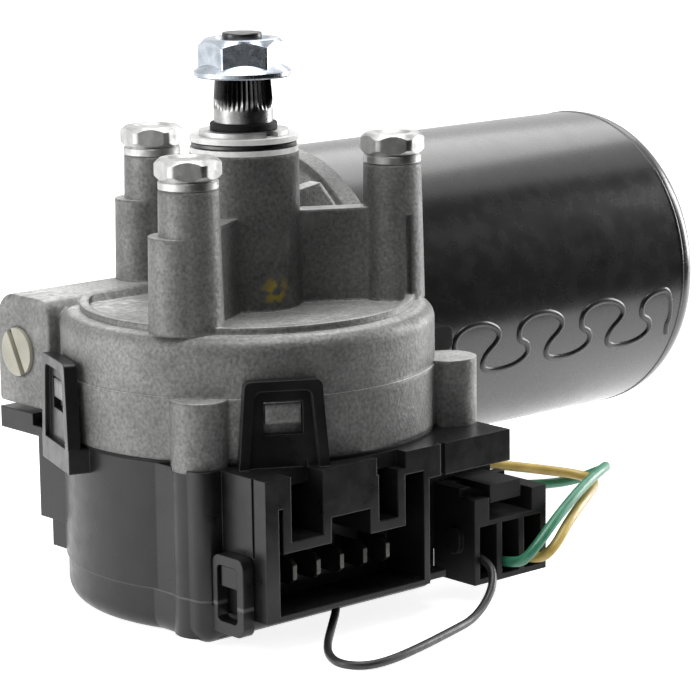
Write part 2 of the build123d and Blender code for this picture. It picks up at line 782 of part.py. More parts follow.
# ==== brush gear ==================================================================================
brush_plate_x = can_front_x + spigot_len + 1.0
brush_plate_thick = 2.2
brush_angles = (0.0, 110.0, 180.0)
brush_width = 6.0
brush_length = 9.0
brush_back_r = commutator_r + 0.1 + brush_length
holder_wall = 1.2
holder_depth = commutator_length - 2.4
brush_x = brush_plate_x + brush_plate_thick

with BuildPart() as brush_plate:
    with BuildSketch(across(brush_plate_x)):
        Circle(magnet_outer_r - running_gap)
        Circle(commutator_r + 2.4, mode=Mode.SUBTRACT)
    extrude(amount=brush_plate_thick)
    with BuildSketch(across(brush_x)):
        for angle in brush_angles:
            with Locations(Location((0, 0, 0), (0, 0, angle))):
                with Locations((brush_back_r - 1.0, 0)):
                    Rectangle(brush_length + 3.0, brush_width + 2 * holder_wall + 0.2)
                with Locations((brush_back_r - 1.0, 0)):
                    Rectangle(brush_length + 9.0, brush_width + 0.2, mode=Mode.SUBTRACT)
    extrude(amount=holder_depth)
keep(brush_plate.part, "brush_plate")

with BuildPart() as brushes:
    with BuildSketch(across(brush_x + 0.1)):
        for angle in brush_angles:
            with Locations(Location((0, 0, 0), (0, 0, angle))):
                with Locations((commutator_r + 0.05 + brush_length / 2, 0)):
                    Rectangle(brush_length + 1.0, brush_width)
        Circle(commutator_r + 0.1, mode=Mode.SUBTRACT)
    extrude(amount=holder_depth - 1.2)
keep(brushes.part, "brushes")

with BuildPart() as brush_springs:
    with BuildSketch(across(brush_x + 1.0)):
        for angle in brush_angles:
            with Locations(Location((0, 0, 0), (0, 0, angle))):
                for step in range(4):
                    with Locations((brush_back_r + 0.9 + 1.15 * step, 0)):
                        Rectangle(0.35, brush_width - 1.0)
                for step, side in enumerate((1, -1, 1)):
                    bend_x = brush_back_r + 0.9 + 1.15 * (step + 0.5)
                    with Locations((bend_x, side * (brush_width / 2 - 0.7))):
                        Rectangle(1.5, 0.4)
    extrude(amount=holder_depth - 3.0)
keep(brush_springs.part, "brush_springs")

choke_ring_r = 0.66 * magnet_outer_r
choke_r, choke_length = 0.1 * magnet_outer_r, 0.28 * magnet_outer_r
with BuildPart() as chokes:
    with BuildSketch(across(brush_x)):
        with PolarLocations(choke_ring_r, 2, start_angle=-135.0, angular_range=90.0, endpoint=True):
            Circle(choke_r)
    extrude(amount=choke_length)
keep(chokes.part, "chokes")

# rubber grommet where the motor's leads leave the can
grommet_x, grommet_top, grommet_height, grommet_len = 42.3, -32.0, 4.3, 5.5
grommet_reach = 4.7
with BuildPart() as lead_grommet:
    with BuildSketch(facing(can_y - can_r - grommet_reach)):
        with Locations((grommet_x - grommet_len / 2, grommet_top - grommet_height / 2)):
            RectangleRounded(grommet_len, grommet_height, 1.2)
    extrude(amount=-6.0)
    with BuildSketch(across(can_front_x)):
        Circle(can_r + 0.05)
    extrude(amount=20.0, mode=Mode.SUBTRACT)
keep(lead_grommet.part, "lead_grommet")
# ==== plastic cover: carries the contact plate and both connectors ================================
def cover_outline(base_r, inset, z):
    """Plan outline shared by the cover and its lid at a height, moved in by an inset."""
    with BuildSketch(Plane.XY.offset(z)) as outline:
        Circle(base_r - inset)
        with Locations((column_left_x + inset, lid_front_y + inset)):
            Rectangle(20.0, 20.0, align=(Align.MIN, Align.MIN))
        with Locations((cover_right_x - inset, 0)):
            Rectangle(3 * base_r, 3 * base_r, align=(Align.MIN, Align.CENTER), mode=Mode.SUBTRACT)
        with Locations((0, lid_front_y + inset)):
            Rectangle(3 * base_r, base_r, align=(Align.CENTER, Align.MAX), mode=Mode.SUBTRACT)
        corner = outline.vertices().sort_by(lambda vertex: vertex.X + vertex.Y)[0]
        fillet(corner, max(column_corner_r - inset, 0.4))
    return outline.sketch


column_corner_r = 2.6
# side pocket behind the drum, in two tiers: bottom and inset of each
pocket_tiers = ((-59.7, 0.0), (-64.9, 1.4))
column_r = 4.9
screw_hole_r = 2.1
board_top_z = -55.0
board_thick = 1.6
post_r = 2.2
posts = ((-16.0, 12.0), (16.0, 12.0), (-16.0, -12.0), (16.0, -12.0))
header_box = (12.0, 33.0, -25.2, -17.0, -50.0)
contact_pin_r = 0.6
contact_pins = ((16.0, 2.0), (12.5, -9.5), (-11.0, 11.5))
shroud_wall_back_y = -25.5
blade_xs = [blade_first_x + blade_pitch * step for step in range(blade_count)]
plug_chamber_xs = (22.8, 28.0, 33.2)

with BuildPart() as gear_cover:
    extrude(cover_outline(cover_r, 0, cover_top_z), amount=lid_split_z - cover_top_z, dir=(0, 0, 1))
    for bottom, inset in pocket_tiers:
        with BuildSketch(Plane.XY.offset(bottom)):
            with Locations((cover_left_x + inset, cover_back_y - inset)):
                Rectangle(18.0, 16.0, align=(Align.MIN, Align.MAX))
        extrude(amount=cover_top_z - bottom)
    cover_inside = cover_outline(cover_r, plastic_wall, lid_split_z)
    inner_height = cover_top_z - plastic_wall - lid_split_z
    extrude(cover_inside, amount=inner_height, dir=(0, 0, 1), mode=Mode.SUBTRACT)
    # header for the motor's plug
    with BuildSketch(Plane.XY.offset(lid_split_z)):
        with Locations((header_box[0], header_box[2])):
            Rectangle(
                header_box[1] - header_box[0], header_box[3] - header_box[2], align=(Align.MIN, Align.MIN)
            )
    extrude(amount=header_box[4] - lid_split_z)
    # connector shroud
    with BuildSketch(facing(shroud_front_y)):
        with Locations((shroud_left_x, cover_top_z)):
            Rectangle(
                shroud_right_x - shroud_left_x, cover_top_z - shroud_bottom_z, align=(Align.MIN, Align.MAX)
            )
    extrude(amount=shroud_front_y - shroud_back_y)
    # roof over the motor's plug
    with BuildSketch(facing(shroud_front_y)):
        with Locations((shroud_right_x - 4.0, roof_top_z)):
            Rectangle(
                roof_right_x - shroud_right_x + 4.0, roof_top_z - roof_bottom_z, align=(Align.MIN, Align.MAX)
            )
    extrude(amount=shroud_front_y + 20.0)
    # columns over the two cover screws, and posts for the circuit board
    for name in ("front", "rear"):
        with BuildSketch(Plane.XY.offset(cover_top_z)):
            with Locations(lugs[name][:2]):
                Circle(column_r)
        extrude(amount=lid_split_z - cover_top_z)
    with BuildSketch(Plane.XY.offset(board_top_z)):
        with Locations(*posts):
            Circle(post_r)
    extrude(amount=cover_top_z - board_top_z)
    # ledge under the worm tunnel
    with BuildSketch(Plane.XY.offset(cover_top_z - 1.7)):
        with Locations((cover_left_x, 20.0)):
            Rectangle(24.0, 14.0, align=(Align.MIN, Align.MIN))
    extrude(amount=1.7)
    with BuildSketch(Plane.XY.offset(cover_top_z - 1.7)):
        with Locations((cover_left_x, 24.5)):
            Rectangle(5.0, 9.5, align=(Align.MIN, Align.MIN))
    extrude(amount=1.7 + 2.0)
    # clips: a panel with a window inside a raised rim that flares downwards, on a foot
    clip_bottom_z = cover_top_z - 1.0
    for angle in clip_angles:
        for width_less, top_less, thick in ((0, 0, clip_rim), (2 * clip_border, clip_border, clip_thick)):
            half_top, half_bottom = clip_top_width / 2 - width_less / 2, clip_width / 2 - width_less / 2
            with BuildSketch(radial(angle, clip_face_r, 0)) as panel:
                Polygon(
                    (-half_bottom, clip_bottom_z), (half_bottom, clip_bottom_z),
                    (half_top, clip_top_z - top_less), (-half_top, clip_top_z - top_less), align=None,
                )
                fillet(panel.vertices().group_by(Axis.Z)[-1], clip_corner_r)
            extrude(amount=clip_rim, mode=Mode.SUBTRACT if width_less else Mode.ADD)
            if width_less:
                extrude(panel.sketch, amount=thick)
        with BuildSketch(radial(angle, clip_face_r, 0)):
            with Locations((0, clip_window_top_z)):
                Rectangle(
                    clip_window, clip_window_top_z - clip_window_bottom_z, align=(Align.CENTER, Align.MAX)
                )
        extrude(amount=clip_rim, mode=Mode.SUBTRACT)
        with BuildSketch(radial(angle, cover_r - 3.0, 0)):
            with Locations((0, cover_top_z)):
                Rectangle(clip_foot_width, 4.0, align=(Align.CENTER, Align.MAX))
        extrude(amount=clip_face_r + clip_rim - cover_r + 3.0)
    # locating pin in the side lug
    with BuildSketch(Plane.XY.offset(cover_top_z - 1.0)):
        with Locations(lugs["side"][:2]):
            Circle(screw_r - 0.05)
    extrude(amount=1.0 + screw_depth - 1.0)
    # openings: spindle end, screws, contact pins, blades, plug terminals
    with BuildSketch(Plane.XY.offset(lid_split_z - 5.0)):
        Circle(spindle_r + 0.3)
        with Locations(lugs["front"][:2], lugs["rear"][:2]):
            Circle(screw_hole_r)
        with Locations(*contact_pins):
            Circle(contact_pin_r)
    extrude(amount=30.0, mode=Mode.SUBTRACT)
    with BuildSketch(Plane.XY.offset(lug_bottom_z)):
        with Locations(*[lug[:2] for lug in lugs.values()]):
            Circle(lug_r)
        Circle(drum_r, mode=Mode.SUBTRACT)
        with Locations(lugs["side"][:2]):
            Circle(screw_r - 0.05, mode=Mode.SUBTRACT)
    extrude(amount=cover_top_z - lug_bottom_z, mode=Mode.SUBTRACT)
    # connector cavity with its keyed guides, open in front
    with BuildSketch(facing(shroud_front_y)):
        Polygon(
            (-22.9, -66.5), (-22.9, -49.0), (-22.0, -49.0), (-22.0, -56.4), (-11.9, -56.4),
            (-11.9, -52.2), (-3.5, -52.2), (-3.5, -56.45), (4.2, -56.45), (4.2, -47.9),
            (8.4, -47.9), (8.4, -66.5), align=None,
        )
        Polygon((-20.3, -54.7), (-20.3, -46.6), (-13.6, -46.6), (-13.6, -54.7), align=None)
        Polygon((-1.6, -54.7), (-1.6, -46.6), (2.6, -46.6), (2.6, -54.7), align=None)
    extrude(amount=shroud_front_y - shroud_wall_back_y, mode=Mode.SUBTRACT)
    # both guides are open on top, in front of the gear housing's rim
    for left, right, depth in ((-20.3, -13.6, 4.0), (-2.0, 4.4, 2.4)):
        with BuildSketch(facing(shroud_front_y)):
            with Locations((left, cover_top_z + 1.0)):
                Rectangle(right - left, 3.8, align=(Align.MIN, Align.MAX))
        extrude(amount=-depth, mode=Mode.SUBTRACT)
    with BuildSketch(facing(shroud_wall_back_y)):
        for x in blade_xs:
            with Locations((x, blade_z)):
                Rectangle(blade_thick, blade_height)
        for x in plug_chamber_xs:
            with Locations((x, blade_z)):
                Rectangle(0.8, 3.0)
    extrude(amount=-14.0, mode=Mode.SUBTRACT)
    # moulding grooves down the roof's face and the shroud's side, a tab below, and the lid's latch tooth
    with BuildSketch(facing(shroud_front_y)):
        with Locations((12.7, roof_top_z)):
            Rectangle(1.0, 2 * (roof_top_z - roof_bottom_z))
    extrude(amount=-0.6, mode=Mode.SUBTRACT)
    with BuildSketch(Plane.YZ.offset(shroud_left_x)):
        with Locations((-31.8, roof_top_z)):
            Rectangle(0.5, 26.0)
    extrude(amount=0.4, mode=Mode.SUBTRACT)
    with BuildSketch(Plane.XY.offset(shroud_bottom_z)):
        with Locations((11.0, shroud_back_y)):
            Rectangle(7.0, 9.6, align=(Align.CENTER, Align.MAX))
    extrude(amount=1.2)
    with BuildSketch(Plane.YZ.offset(shroud_left_x)):
        with Locations((-27.8, -60.6)):
            Rectangle(4.0, 3.4)
    extrude(amount=-1.9)
keep(gear_cover.part, "gear_cover")

with BuildPart() as cover_gasket:
    with BuildSketch(Plane.XY.offset(cover_top_z)):
        Circle(drum_r)
    extrude(amount=gasket_thick)
    with BuildSketch(Plane.XY.offset(cover_top_z)):
        Circle(drum_r - drum_wall)
        with Locations((cover_right_x - drum_wall, 0)):
            Rectangle(2 * drum_r, 2 * drum_r, align=(Align.MIN, Align.CENTER), mode=Mode.SUBTRACT)
        with Locations(lugs["front"][:2]):
            Circle(screw_boss_r, mode=Mode.SUBTRACT)
    extrude(amount=gasket_thick, mode=Mode.SUBTRACT)
    with BuildSketch(Plane.XY.offset(cover_top_z)):
        with Locations((cover_right_x, -14.0)):
            Rectangle(drum_r, 2 * drum_r, align=(Align.MIN, Align.MIN))
        with Locations(*[lug[:2] for lug in lugs.values()]):
            Circle(screw_hole_r)
    extrude(amount=gasket_thick, mode=Mode.SUBTRACT)
keep(cover_gasket.part, "cover_gasket")

# ---- contacts inside -----------------------------------------------------------------------------
disc_bottom_z = disc_top_z - disc_thick
with BuildPart() as contact_springs:
    for x, y in contact_pins:
        turn = degrees(atan2(y, x))
        r = (x * x + y * y) ** 0.5
        outward = (cos(radians(turn)), sin(radians(turn)), 0)
        strip = Plane(origin=(0, 0, 0), x_dir=outward, z_dir=(outward[1], -outward[0], 0))
        with BuildSketch(strip):
            Polygon(
                (r + 1.5, cover_top_z), (r + 1.5, cover_top_z + 0.5), (r - 0.7, cover_top_z + 0.5),
                (r - 3.2, disc_bottom_z - 0.05), (r - 3.8, disc_bottom_z - 0.05), (r - 1.3, cover_top_z),
                align=None,
            )
        extrude(amount=0.9, both=True)
        with BuildSketch(Plane.XY.offset(board_top_z - 0.6)):
            with Locations((x, y)):
                Circle(contact_pin_r - 0.1)
        extrude(amount=cover_top_z - board_top_z + 0.7)
keep(contact_springs.part, "contact_springs")

board_r = cover_r - plastic_wall - 1.5
relay_length, relay_width, relay_height = 0.66 * board_r, 0.52 * board_r, 0.5 * board_r
capacitor_r, capacitor_height = 0.17 * board_r, 0.38 * board_r
with BuildPart() as circuit_board:
    with BuildSketch(Plane.XY.offset(board_top_z)):
        Circle(board_r)
        with Locations((cover_right_x - plastic_wall - 1.0, 0)):
            Rectangle(2 * cover_r, 2 * cover_r, align=(Align.MIN, Align.CENTER), mode=Mode.SUBTRACT)
        with Locations(lugs["front"][:2], lugs["rear"][:2]):
            Circle(column_r + 0.6, mode=Mode.SUBTRACT)
        with Locations((header_box[0] - 1.0, header_box[2])):
            header_clearance = header_box[3] - header_box[2] + 1.0
            Rectangle(board_r, header_clearance, align=(Align.MIN, Align.MIN), mode=Mode.SUBTRACT)
        with Locations((0, lid_front_y + plastic_wall + 0.6)):
            Rectangle(2 * cover_r, 10.0, align=(Align.CENTER, Align.MAX), mode=Mode.SUBTRACT)
        with Locations(*contact_pins):
            Circle(contact_pin_r, mode=Mode.SUBTRACT)
    extrude(amount=-board_thick)
keep(circuit_board.part, "circuit_board")

board_bottom_z = board_top_z - board_thick
with BuildPart() as board_relay:
    with BuildSketch(Plane.XY.offset(board_bottom_z)):
        with Locations((-4.0, 8.0)):
            RectangleRounded(relay_length, relay_width, 1.0)
    extrude(amount=-relay_height)
    chamfer(board_relay.edges().group_by(Axis.Z)[0], 0.5)
keep(board_relay.part, "board_relay")

with BuildPart() as board_capacitor:
    with BuildSketch(Plane.XY.offset(board_bottom_z)):
        with Locations((15.5, 3.0)):
            Circle(capacitor_r)
    extrude(amount=-capacitor_height)
    chamfer(board_capacitor.edges().filter_by(GeomType.CIRCLE), 0.5)
keep(board_capacitor.part, "board_capacitor")

# ---- blades of the cover's connector, standing up to the board inside ----------------------------
blade_tail_y = -17.0
with BuildPart() as blade_terminals:
    for x in blade_xs:
        with BuildSketch(Plane.YZ.offset(x - blade_thick / 2)):
            with BuildLine():
                Polyline(
                    (blade_tip_y, blade_z - blade_height / 2 + 0.9),
                    (blade_tip_y, blade_z + blade_height / 2 - 0.9),
                    (blade_tip_y + 1.2, blade_z + blade_height / 2),
                    (blade_tail_y - 3.0, blade_z + blade_height / 2),
                    (blade_tail_y - 3.0, board_bottom_z), (blade_tail_y, board_bottom_z),
                    (blade_tail_y, blade_z - blade_height / 2),
                    (blade_tip_y + 1.2, blade_z - blade_height / 2),
                    close=True,
                )
            make_face()
        extrude(amount=blade_thick)
keep(blade_terminals.part, "blade_terminals")

# ---- lid with its latch loop, and the long screws from below -------------------------------------
lid_r = cover_r - 0.4
lid_edge_r = 3.4
head_r = 3.2
head_height = 2.4
recess_depth = 3.4
loop_x, loop_thick = -28.0, 2.2
loop_top_z, loop_bottom_z = -57.0, -70.0
loop_width, loop_window = 7.7, 5.0
with BuildPart() as cover_lid:
    extrude(cover_outline(lid_r, 0, lid_bottom_z), amount=lid_split_z - lid_bottom_z, dir=(0, 0, 1))
    fillet(cover_lid.edges().group_by(Axis.Z)[0], lid_edge_r)
    lid_inside = cover_outline(lid_r, plastic_wall, lid_bottom_z + plastic_wall)
    extrude(lid_inside, amount=lid_split_z - lid_bottom_z, dir=(0, 0, 1), mode=Mode.SUBTRACT)
    for name in ("front", "rear"):
        with BuildSketch(Plane.XY.offset(lid_bottom_z + plastic_wall / 2)):
            with Locations(lugs[name][:2]):
                Circle(column_r)
        extrude(amount=lid_split_z - lid_bottom_z - plastic_wall / 2)
    with BuildSketch(Plane.XY.offset(lid_bottom_z - 1.0)):
        with Locations(lugs["front"][:2], lugs["rear"][:2]):
            Circle(screw_hole_r)
    extrude(amount=12.0, mode=Mode.SUBTRACT)
    with BuildSketch(Plane.XY.offset(lid_bottom_z - 1.0)):
        with Locations(lugs["front"][:2], lugs["rear"][:2]):
            Circle(head_r + 0.3)
    extrude(amount=1.0 + recess_depth, mode=Mode.SUBTRACT)
    with BuildSketch(Plane.YZ.offset(loop_x)) as loop:
        with Locations((lid_front_y - 0.2, loop_top_z)):
            Rectangle(loop_width, loop_top_z - loop_bottom_z, align=(Align.MAX, Align.MAX))
        fillet(loop.vertices().group_by(Axis.Z)[-1], 1.6)
        with Locations((lid_front_y + 1.0, loop_bottom_z + 4.0)):
            Rectangle(3.0, 4.0, align=(Align.MAX, Align.MAX))
    extrude(amount=loop_thick)
    with BuildSketch(Plane.YZ.offset(loop_x)) as loop_opening:
        with Locations((lid_front_y - 1.3, loop_top_z - 1.7)):
            Rectangle(loop_window, 9.3, align=(Align.MAX, Align.MAX))
        fillet(loop_opening.vertices().group_by(Axis.Z)[-1], 0.8)
    extrude(amount=loop_thick, mode=Mode.SUBTRACT)
keep(cover_lid.part, "cover_lid")

cover_screw_top_z = lug_bottom_z + screw_depth - 0.6
head_z = lid_bottom_z + recess_depth
with BuildPart() as cover_screws:
    for name in ("front", "rear"):
        with BuildSketch(Plane.XY.offset(head_z)):
            with Locations(lugs[name][:2]):
                Circle(screw_r)
        extrude(amount=cover_screw_top_z - head_z)
        with BuildSketch(Plane.XY.offset(head_z - head_height)):
            with Locations(lugs[name][:2]):
                Circle(head_r)
        extrude(amount=head_height)
        with BuildSketch(Plane.XY.offset(head_z - head_height)):
            with Locations(lugs[name][:2]):
                Rectangle(4.2, 0.9)
                Rectangle(0.9, 4.2)
        extrude(amount=1.6, mode=Mode.SUBTRACT)
keep(cover_screws.part, "cover_screws")

# ---- motor's plug: three chambers, two posts and a latch tongue above them -----------------------
chamber_width, chamber_top_z, chamber_bottom_z, chamber_depth = 4.0, -59.8, -68.8, 5.0
plug_body_top_z = -59.0
post_top_z = -55.0
post_width = 3.4
tongue_width, tongue_top_z, tongue_bottom_z = 7.2, -53.2, -56.3
with BuildPart() as motor_plug:
    with BuildSketch(facing(plug_front_y)):
        with Locations((plug_left_x, plug_body_top_z)):
            Rectangle(
                plug_right_x - plug_left_x, plug_body_top_z - plug_bottom_z, align=(Align.MIN, Align.MAX)
            )
        for x, side in ((plug_left_x, Align.MIN), (plug_right_x, Align.MAX)):
            with Locations((x, plug_body_top_z)):
                Rectangle(post_width, post_top_z - plug_body_top_z, align=(side, Align.MIN))
    extrude(amount=plug_front_y - plug_back_y)
    # higher back part that carries the tongue
    with BuildSketch(facing(plug_front_y + 3.6)):
        with Locations((plug_left_x, plug_top_z)):
            Rectangle(2.4, 6.0, align=(Align.MIN, Align.MAX))
    extrude(amount=plug_front_y + 3.6 - plug_back_y)
    with BuildSketch(facing(plug_back_y - 2.0)):
        with Locations((plug_left_x, plug_top_z)):
            Rectangle(plug_right_x - plug_left_x - 2.0, 7.0, align=(Align.MIN, Align.MAX))
    extrude(amount=-2.0)
    with BuildSketch(facing(plug_front_y + 0.9)):
        with Locations(((plug_left_x + plug_right_x) / 2 - 0.4, tongue_top_z)):
            Rectangle(tongue_width, tongue_top_z - tongue_bottom_z, align=(Align.CENTER, Align.MAX))
    extrude(amount=-1.6)
    with BuildSketch(facing(plug_front_y + 0.9)):
        with Locations(((plug_left_x + plug_right_x) / 2 - 0.4, tongue_top_z)):
            Rectangle(tongue_width, 1.2, align=(Align.CENTER, Align.MAX))
    extrude(amount=plug_front_y + 0.9 - plug_back_y)
    with BuildSketch(facing(plug_front_y)):
        for x in plug_chamber_xs:
            with Locations((x, (chamber_top_z + chamber_bottom_z) / 2)):
                Rectangle(chamber_width, chamber_top_z - chamber_bottom_z)
    extrude(amount=-chamber_depth, mode=Mode.SUBTRACT)
    with BuildSketch(facing(plug_back_y)):
        for x in plug_chamber_xs:
            with Locations((x, blade_z)):
                Rectangle(0.8, 3.0)
    extrude(amount=3.5, mode=Mode.SUBTRACT)
    with BuildSketch(Plane.YZ.offset(plug_left_x)):
        with Locations((-31.0, -62.5)):
            SlotOverall(4.6, 3.0, rotation=90)
    extrude(amount=-1.0)
keep(motor_plug.part, "motor_plug")

with BuildPart() as header_pins:
    with BuildSketch(facing(plug_back_y - 3.4)):
        for x in plug_chamber_xs:
            with Locations((x, blade_z)):
                Rectangle(0.8, 3.0)
    extrude(amount=-11.0)
keep(header_pins.part, "header_pins")

# ==== wires =======================================================================================
def cord(points, r, name):
    """Round wire along straight runs joined by tangent arcs."""
    path_points = [Vector(*point) for point in points]
    radii = []
    for before, here, after in zip(path_points, path_points[1:], path_points[2:]):
        half_turn = radians((here - before).get_angle(after - here)) / 2
        radii.append(0.45 * min((here - before).length, (after - here).length) / tan(half_turn))
    with BuildPart() as wire:
        with BuildLine() as path:
            FilletPolyline(*path_points, radius=radii)
        first = (path_points[1] - path_points[0]).normalized()
        with BuildSketch(Plane(origin=path_points[0], z_dir=first)):
            Circle(r)
        sweep(path=path.wire())
    length = path.wire().length
    print(f"{name}: length {length:.1f}, volume {wire.part.volume:.1f} of {pi * r * r * length:.1f}")
    print("   radii", [round(value, 1) for value in radii])
    keep(wire.part, name)


chamber_floor_y = plug_front_y + chamber_depth
floor_z = lid_bottom_z + 0.8
thin_r, thick_r = 0.7, 0.9
black_points = (
    (21.9, chamber_floor_y, -65.2), (21.9, -36.6, -65.3), (19.4, -40.2, -68.8), (12.6, -43.0, floor_z),
    (3.6, -46.0, floor_z), (-6.0, -48.9, floor_z), (-13.5, -50.6, floor_z), (-18.6, -50.2, floor_z),
    (-20.7, -46.6, floor_z), (-18.9, -41.9, floor_z), (-15.2, -37.3, floor_z + 0.1),
    (-10.0, -32.4, floor_z + 0.8),
    (-5.6, -28.6, floor_z + 2.1), (-4.0, -26.4, floor_z + 3.0), (-4.0, lid_front_y, floor_z + 3.0),
)
green_points = (
    (27.8, chamber_floor_y, -67.4), (27.8, -36.9, -67.5), (29.8, -38.9, -65.0), (36.6, -37.8, -60.4),
    (48.5, -33.4, -57.0), (58.6, -28.8, -56.4), (61.6, -24.6, -58.6), (56.8, -20.2, -61.0),
    (46.5, -16.4, -60.4), (36.6, -12.4, -58.4), (31.6, -11.0, -57.6), (cover_right_x, -11.0, -57.6),
)
yellow_points = (
    (32.6, chamber_floor_y, -67.4), (32.6, -37.1, -67.5), (34.6, -39.1, -65.4), (40.2, -37.2, -61.8),
    (49.5, -32.6, -59.8), (56.8, -27.8, -59.4), (57.8, -23.4, -59.2), (53.2, -19.2, -58.2),
    (45.0, -14.8, -56.6), (36.0, -9.6, -54.8), (31.6, -8.0, -54.2), (cover_right_x, -8.0, -54.2),
)
cord(black_points, thin_r, "wire_black")
cord(green_points, thick_r, "wire_green")
cord(yellow_points, thick_r, "wire_yellow")
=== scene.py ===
# %% [markdown]
# # Wiper motor
# A die-cast gear housing carries a motor can on one side and a splined output spindle on top.
# The rigid shapes come packed from CAD. This lesson gives them their finishes, rebuilds the
# turned steel parts with finer edges, adds the wires and the can's seam, and lights them all.

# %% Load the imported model
import json
from math import atan2, cos, pi, radians, sin

import bmesh
import bpy
from mathutils import Matrix, Vector

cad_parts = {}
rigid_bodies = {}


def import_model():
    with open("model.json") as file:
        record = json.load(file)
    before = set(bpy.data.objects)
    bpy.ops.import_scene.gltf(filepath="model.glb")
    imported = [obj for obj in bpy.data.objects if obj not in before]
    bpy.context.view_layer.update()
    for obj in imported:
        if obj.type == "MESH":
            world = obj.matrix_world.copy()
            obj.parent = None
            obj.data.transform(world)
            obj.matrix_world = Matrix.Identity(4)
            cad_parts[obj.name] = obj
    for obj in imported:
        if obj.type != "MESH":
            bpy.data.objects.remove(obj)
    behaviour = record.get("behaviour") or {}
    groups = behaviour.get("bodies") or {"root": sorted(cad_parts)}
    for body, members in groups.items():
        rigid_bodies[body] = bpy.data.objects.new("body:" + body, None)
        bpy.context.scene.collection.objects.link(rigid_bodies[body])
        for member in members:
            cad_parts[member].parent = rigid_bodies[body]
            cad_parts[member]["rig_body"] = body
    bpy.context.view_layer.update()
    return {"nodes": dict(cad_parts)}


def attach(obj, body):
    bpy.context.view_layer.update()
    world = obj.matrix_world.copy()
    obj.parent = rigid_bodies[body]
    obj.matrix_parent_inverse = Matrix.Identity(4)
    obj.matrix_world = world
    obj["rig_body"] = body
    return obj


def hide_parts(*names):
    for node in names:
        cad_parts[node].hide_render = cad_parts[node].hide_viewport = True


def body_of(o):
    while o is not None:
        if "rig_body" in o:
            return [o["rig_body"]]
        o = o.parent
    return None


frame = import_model()
mm = 0.001

# %% [markdown]
# ## Camera
# The camera is set first, since the cords are judged against what it sees. It stands a little
# above the motor and looks along the corner between the connector and the worm tunnel. An aim
# point and a tracking constraint would also do, but its small roll is easier to give as axes.

# %% Camera
camera_data = bpy.data.cameras.new("camera")
camera_data.lens = 151.46
camera_data.sensor_width = 36.0
camera = bpy.data.objects.new("camera", camera_data)
camera_place = Vector((-0.31176, -0.38281, 0.06781))
azimuth, elevation, roll = radians(-41.18), radians(11.39), radians(-0.76)
forward = Vector((-sin(azimuth) * cos(elevation), cos(azimuth) * cos(elevation), -sin(elevation)))
level_right = Vector((cos(azimuth), sin(azimuth), 0))
level_up = level_right.cross(forward)
right = cos(roll) * level_right + sin(roll) * level_up
up = -sin(roll) * level_right + cos(roll) * level_up
axes = Matrix((right, up, -forward)).transposed()
camera.matrix_world = Matrix.Translation(camera_place) @ axes.to_4x4()
bpy.context.collection.objects.link(camera)
bpy.context.scene.camera = camera
print("camera at", [round(value, 3) for value in camera.location])

# %% [markdown]
# ## Tools for materials
# Every finish reads Object coordinates, which are metres in the part's own frame, so a noise
# scale of 1000 has features about a millimetre across. A finish could be painted on unwrapped
# faces, but noise in space needs no unwrapping and runs over edges without a seam. Each one
# starts from the same three steps: a mottled colour, a roughness that varies, and fine bumps.

# %% Nodes and sockets
def add_node(tree, kind, **settings):
    """A new node; each setting goes to the input of that name, or else to the node itself."""
    node = tree.nodes.new(kind)
    for name, value in settings.items():
        if name in node.inputs:
            node.inputs[name].default_value = value
        else:
            setattr(node, name, value)
    return node


def feed(tree, value, socket):
    """Link a socket to another node's output, or give it a plain number or colour."""
    if hasattr(value, "is_linked"):
        tree.links.new(value, socket)
    elif isinstance(value, tuple) and socket.type == "RGBA":
        socket.default_value = (*value, 1.0)
    else:
        socket.default_value = value


def calculate(tree, operation, first, second=0.0):
    """A number worked out from two others."""
    node = add_node(tree, "ShaderNodeMath", operation=operation)
    feed(tree, first, node.inputs[0])
    feed(tree, second, node.inputs[1])
    return node.outputs[0]


def object_place(tree):
    return add_node(tree, "ShaderNodeTexCoord").outputs["Object"]


def components(tree, vector):
    """The three outputs X, Y and Z of a vector."""
    node = add_node(tree, "ShaderNodeSeparateXYZ")
    tree.links.new(vector, node.inputs["Vector"])
    return node.outputs


def noise(tree, scale, detail=4.0, stretch=None, distortion=0.0):
    """Noise on Object coordinates, drawn out along an axis when stretch is given."""
    place = object_place(tree)
    if stretch:
        mapping = add_node(tree, "ShaderNodeMapping", Scale=stretch)
        tree.links.new(place, mapping.inputs["Vector"])
        place = mapping.outputs["Vector"]
    texture = add_node(tree, "ShaderNodeTexNoise", Scale=scale, Detail=detail, Distortion=distortion)
    tree.links.new(place, texture.inputs["Vector"])
    return texture.outputs["Fac"]


def ramp(tree, value, *stops):
    """Colour ramp whose stops are (position, colour)."""
    node = add_node(tree, "ShaderNodeValToRGB")
    elements = node.color_ramp.elements
    while len(elements) < len(stops):
        elements.new(0.5)
    for element, (position, colour) in zip(elements, stops):
        element.position = position
        element.color = (*colour, 1.0)
    tree.links.new(value, node.inputs["Fac"])
    return node.outputs["Color"]


def map_range(tree, value, low, high, to_low, to_high):
    """Move a value from the range low..high to another one, clamped at its ends."""
    limits = {"From Min": low, "From Max": high, "To Min": to_low, "To Max": to_high}
    node = add_node(tree, "ShaderNodeMapRange", **limits)
    tree.links.new(value, node.inputs["Value"])
    return node.outputs["Result"]


def mix(tree, factor, first, second, blend="MIX"):
    """Blend two colours; either can be a link or a plain colour."""
    node = add_node(tree, "ShaderNodeMix", data_type="RGBA", blend_type=blend)
    feed(tree, factor, node.inputs[0])
    feed(tree, first, node.inputs[6])
    feed(tree, second, node.inputs[7])
    return node.outputs[2]


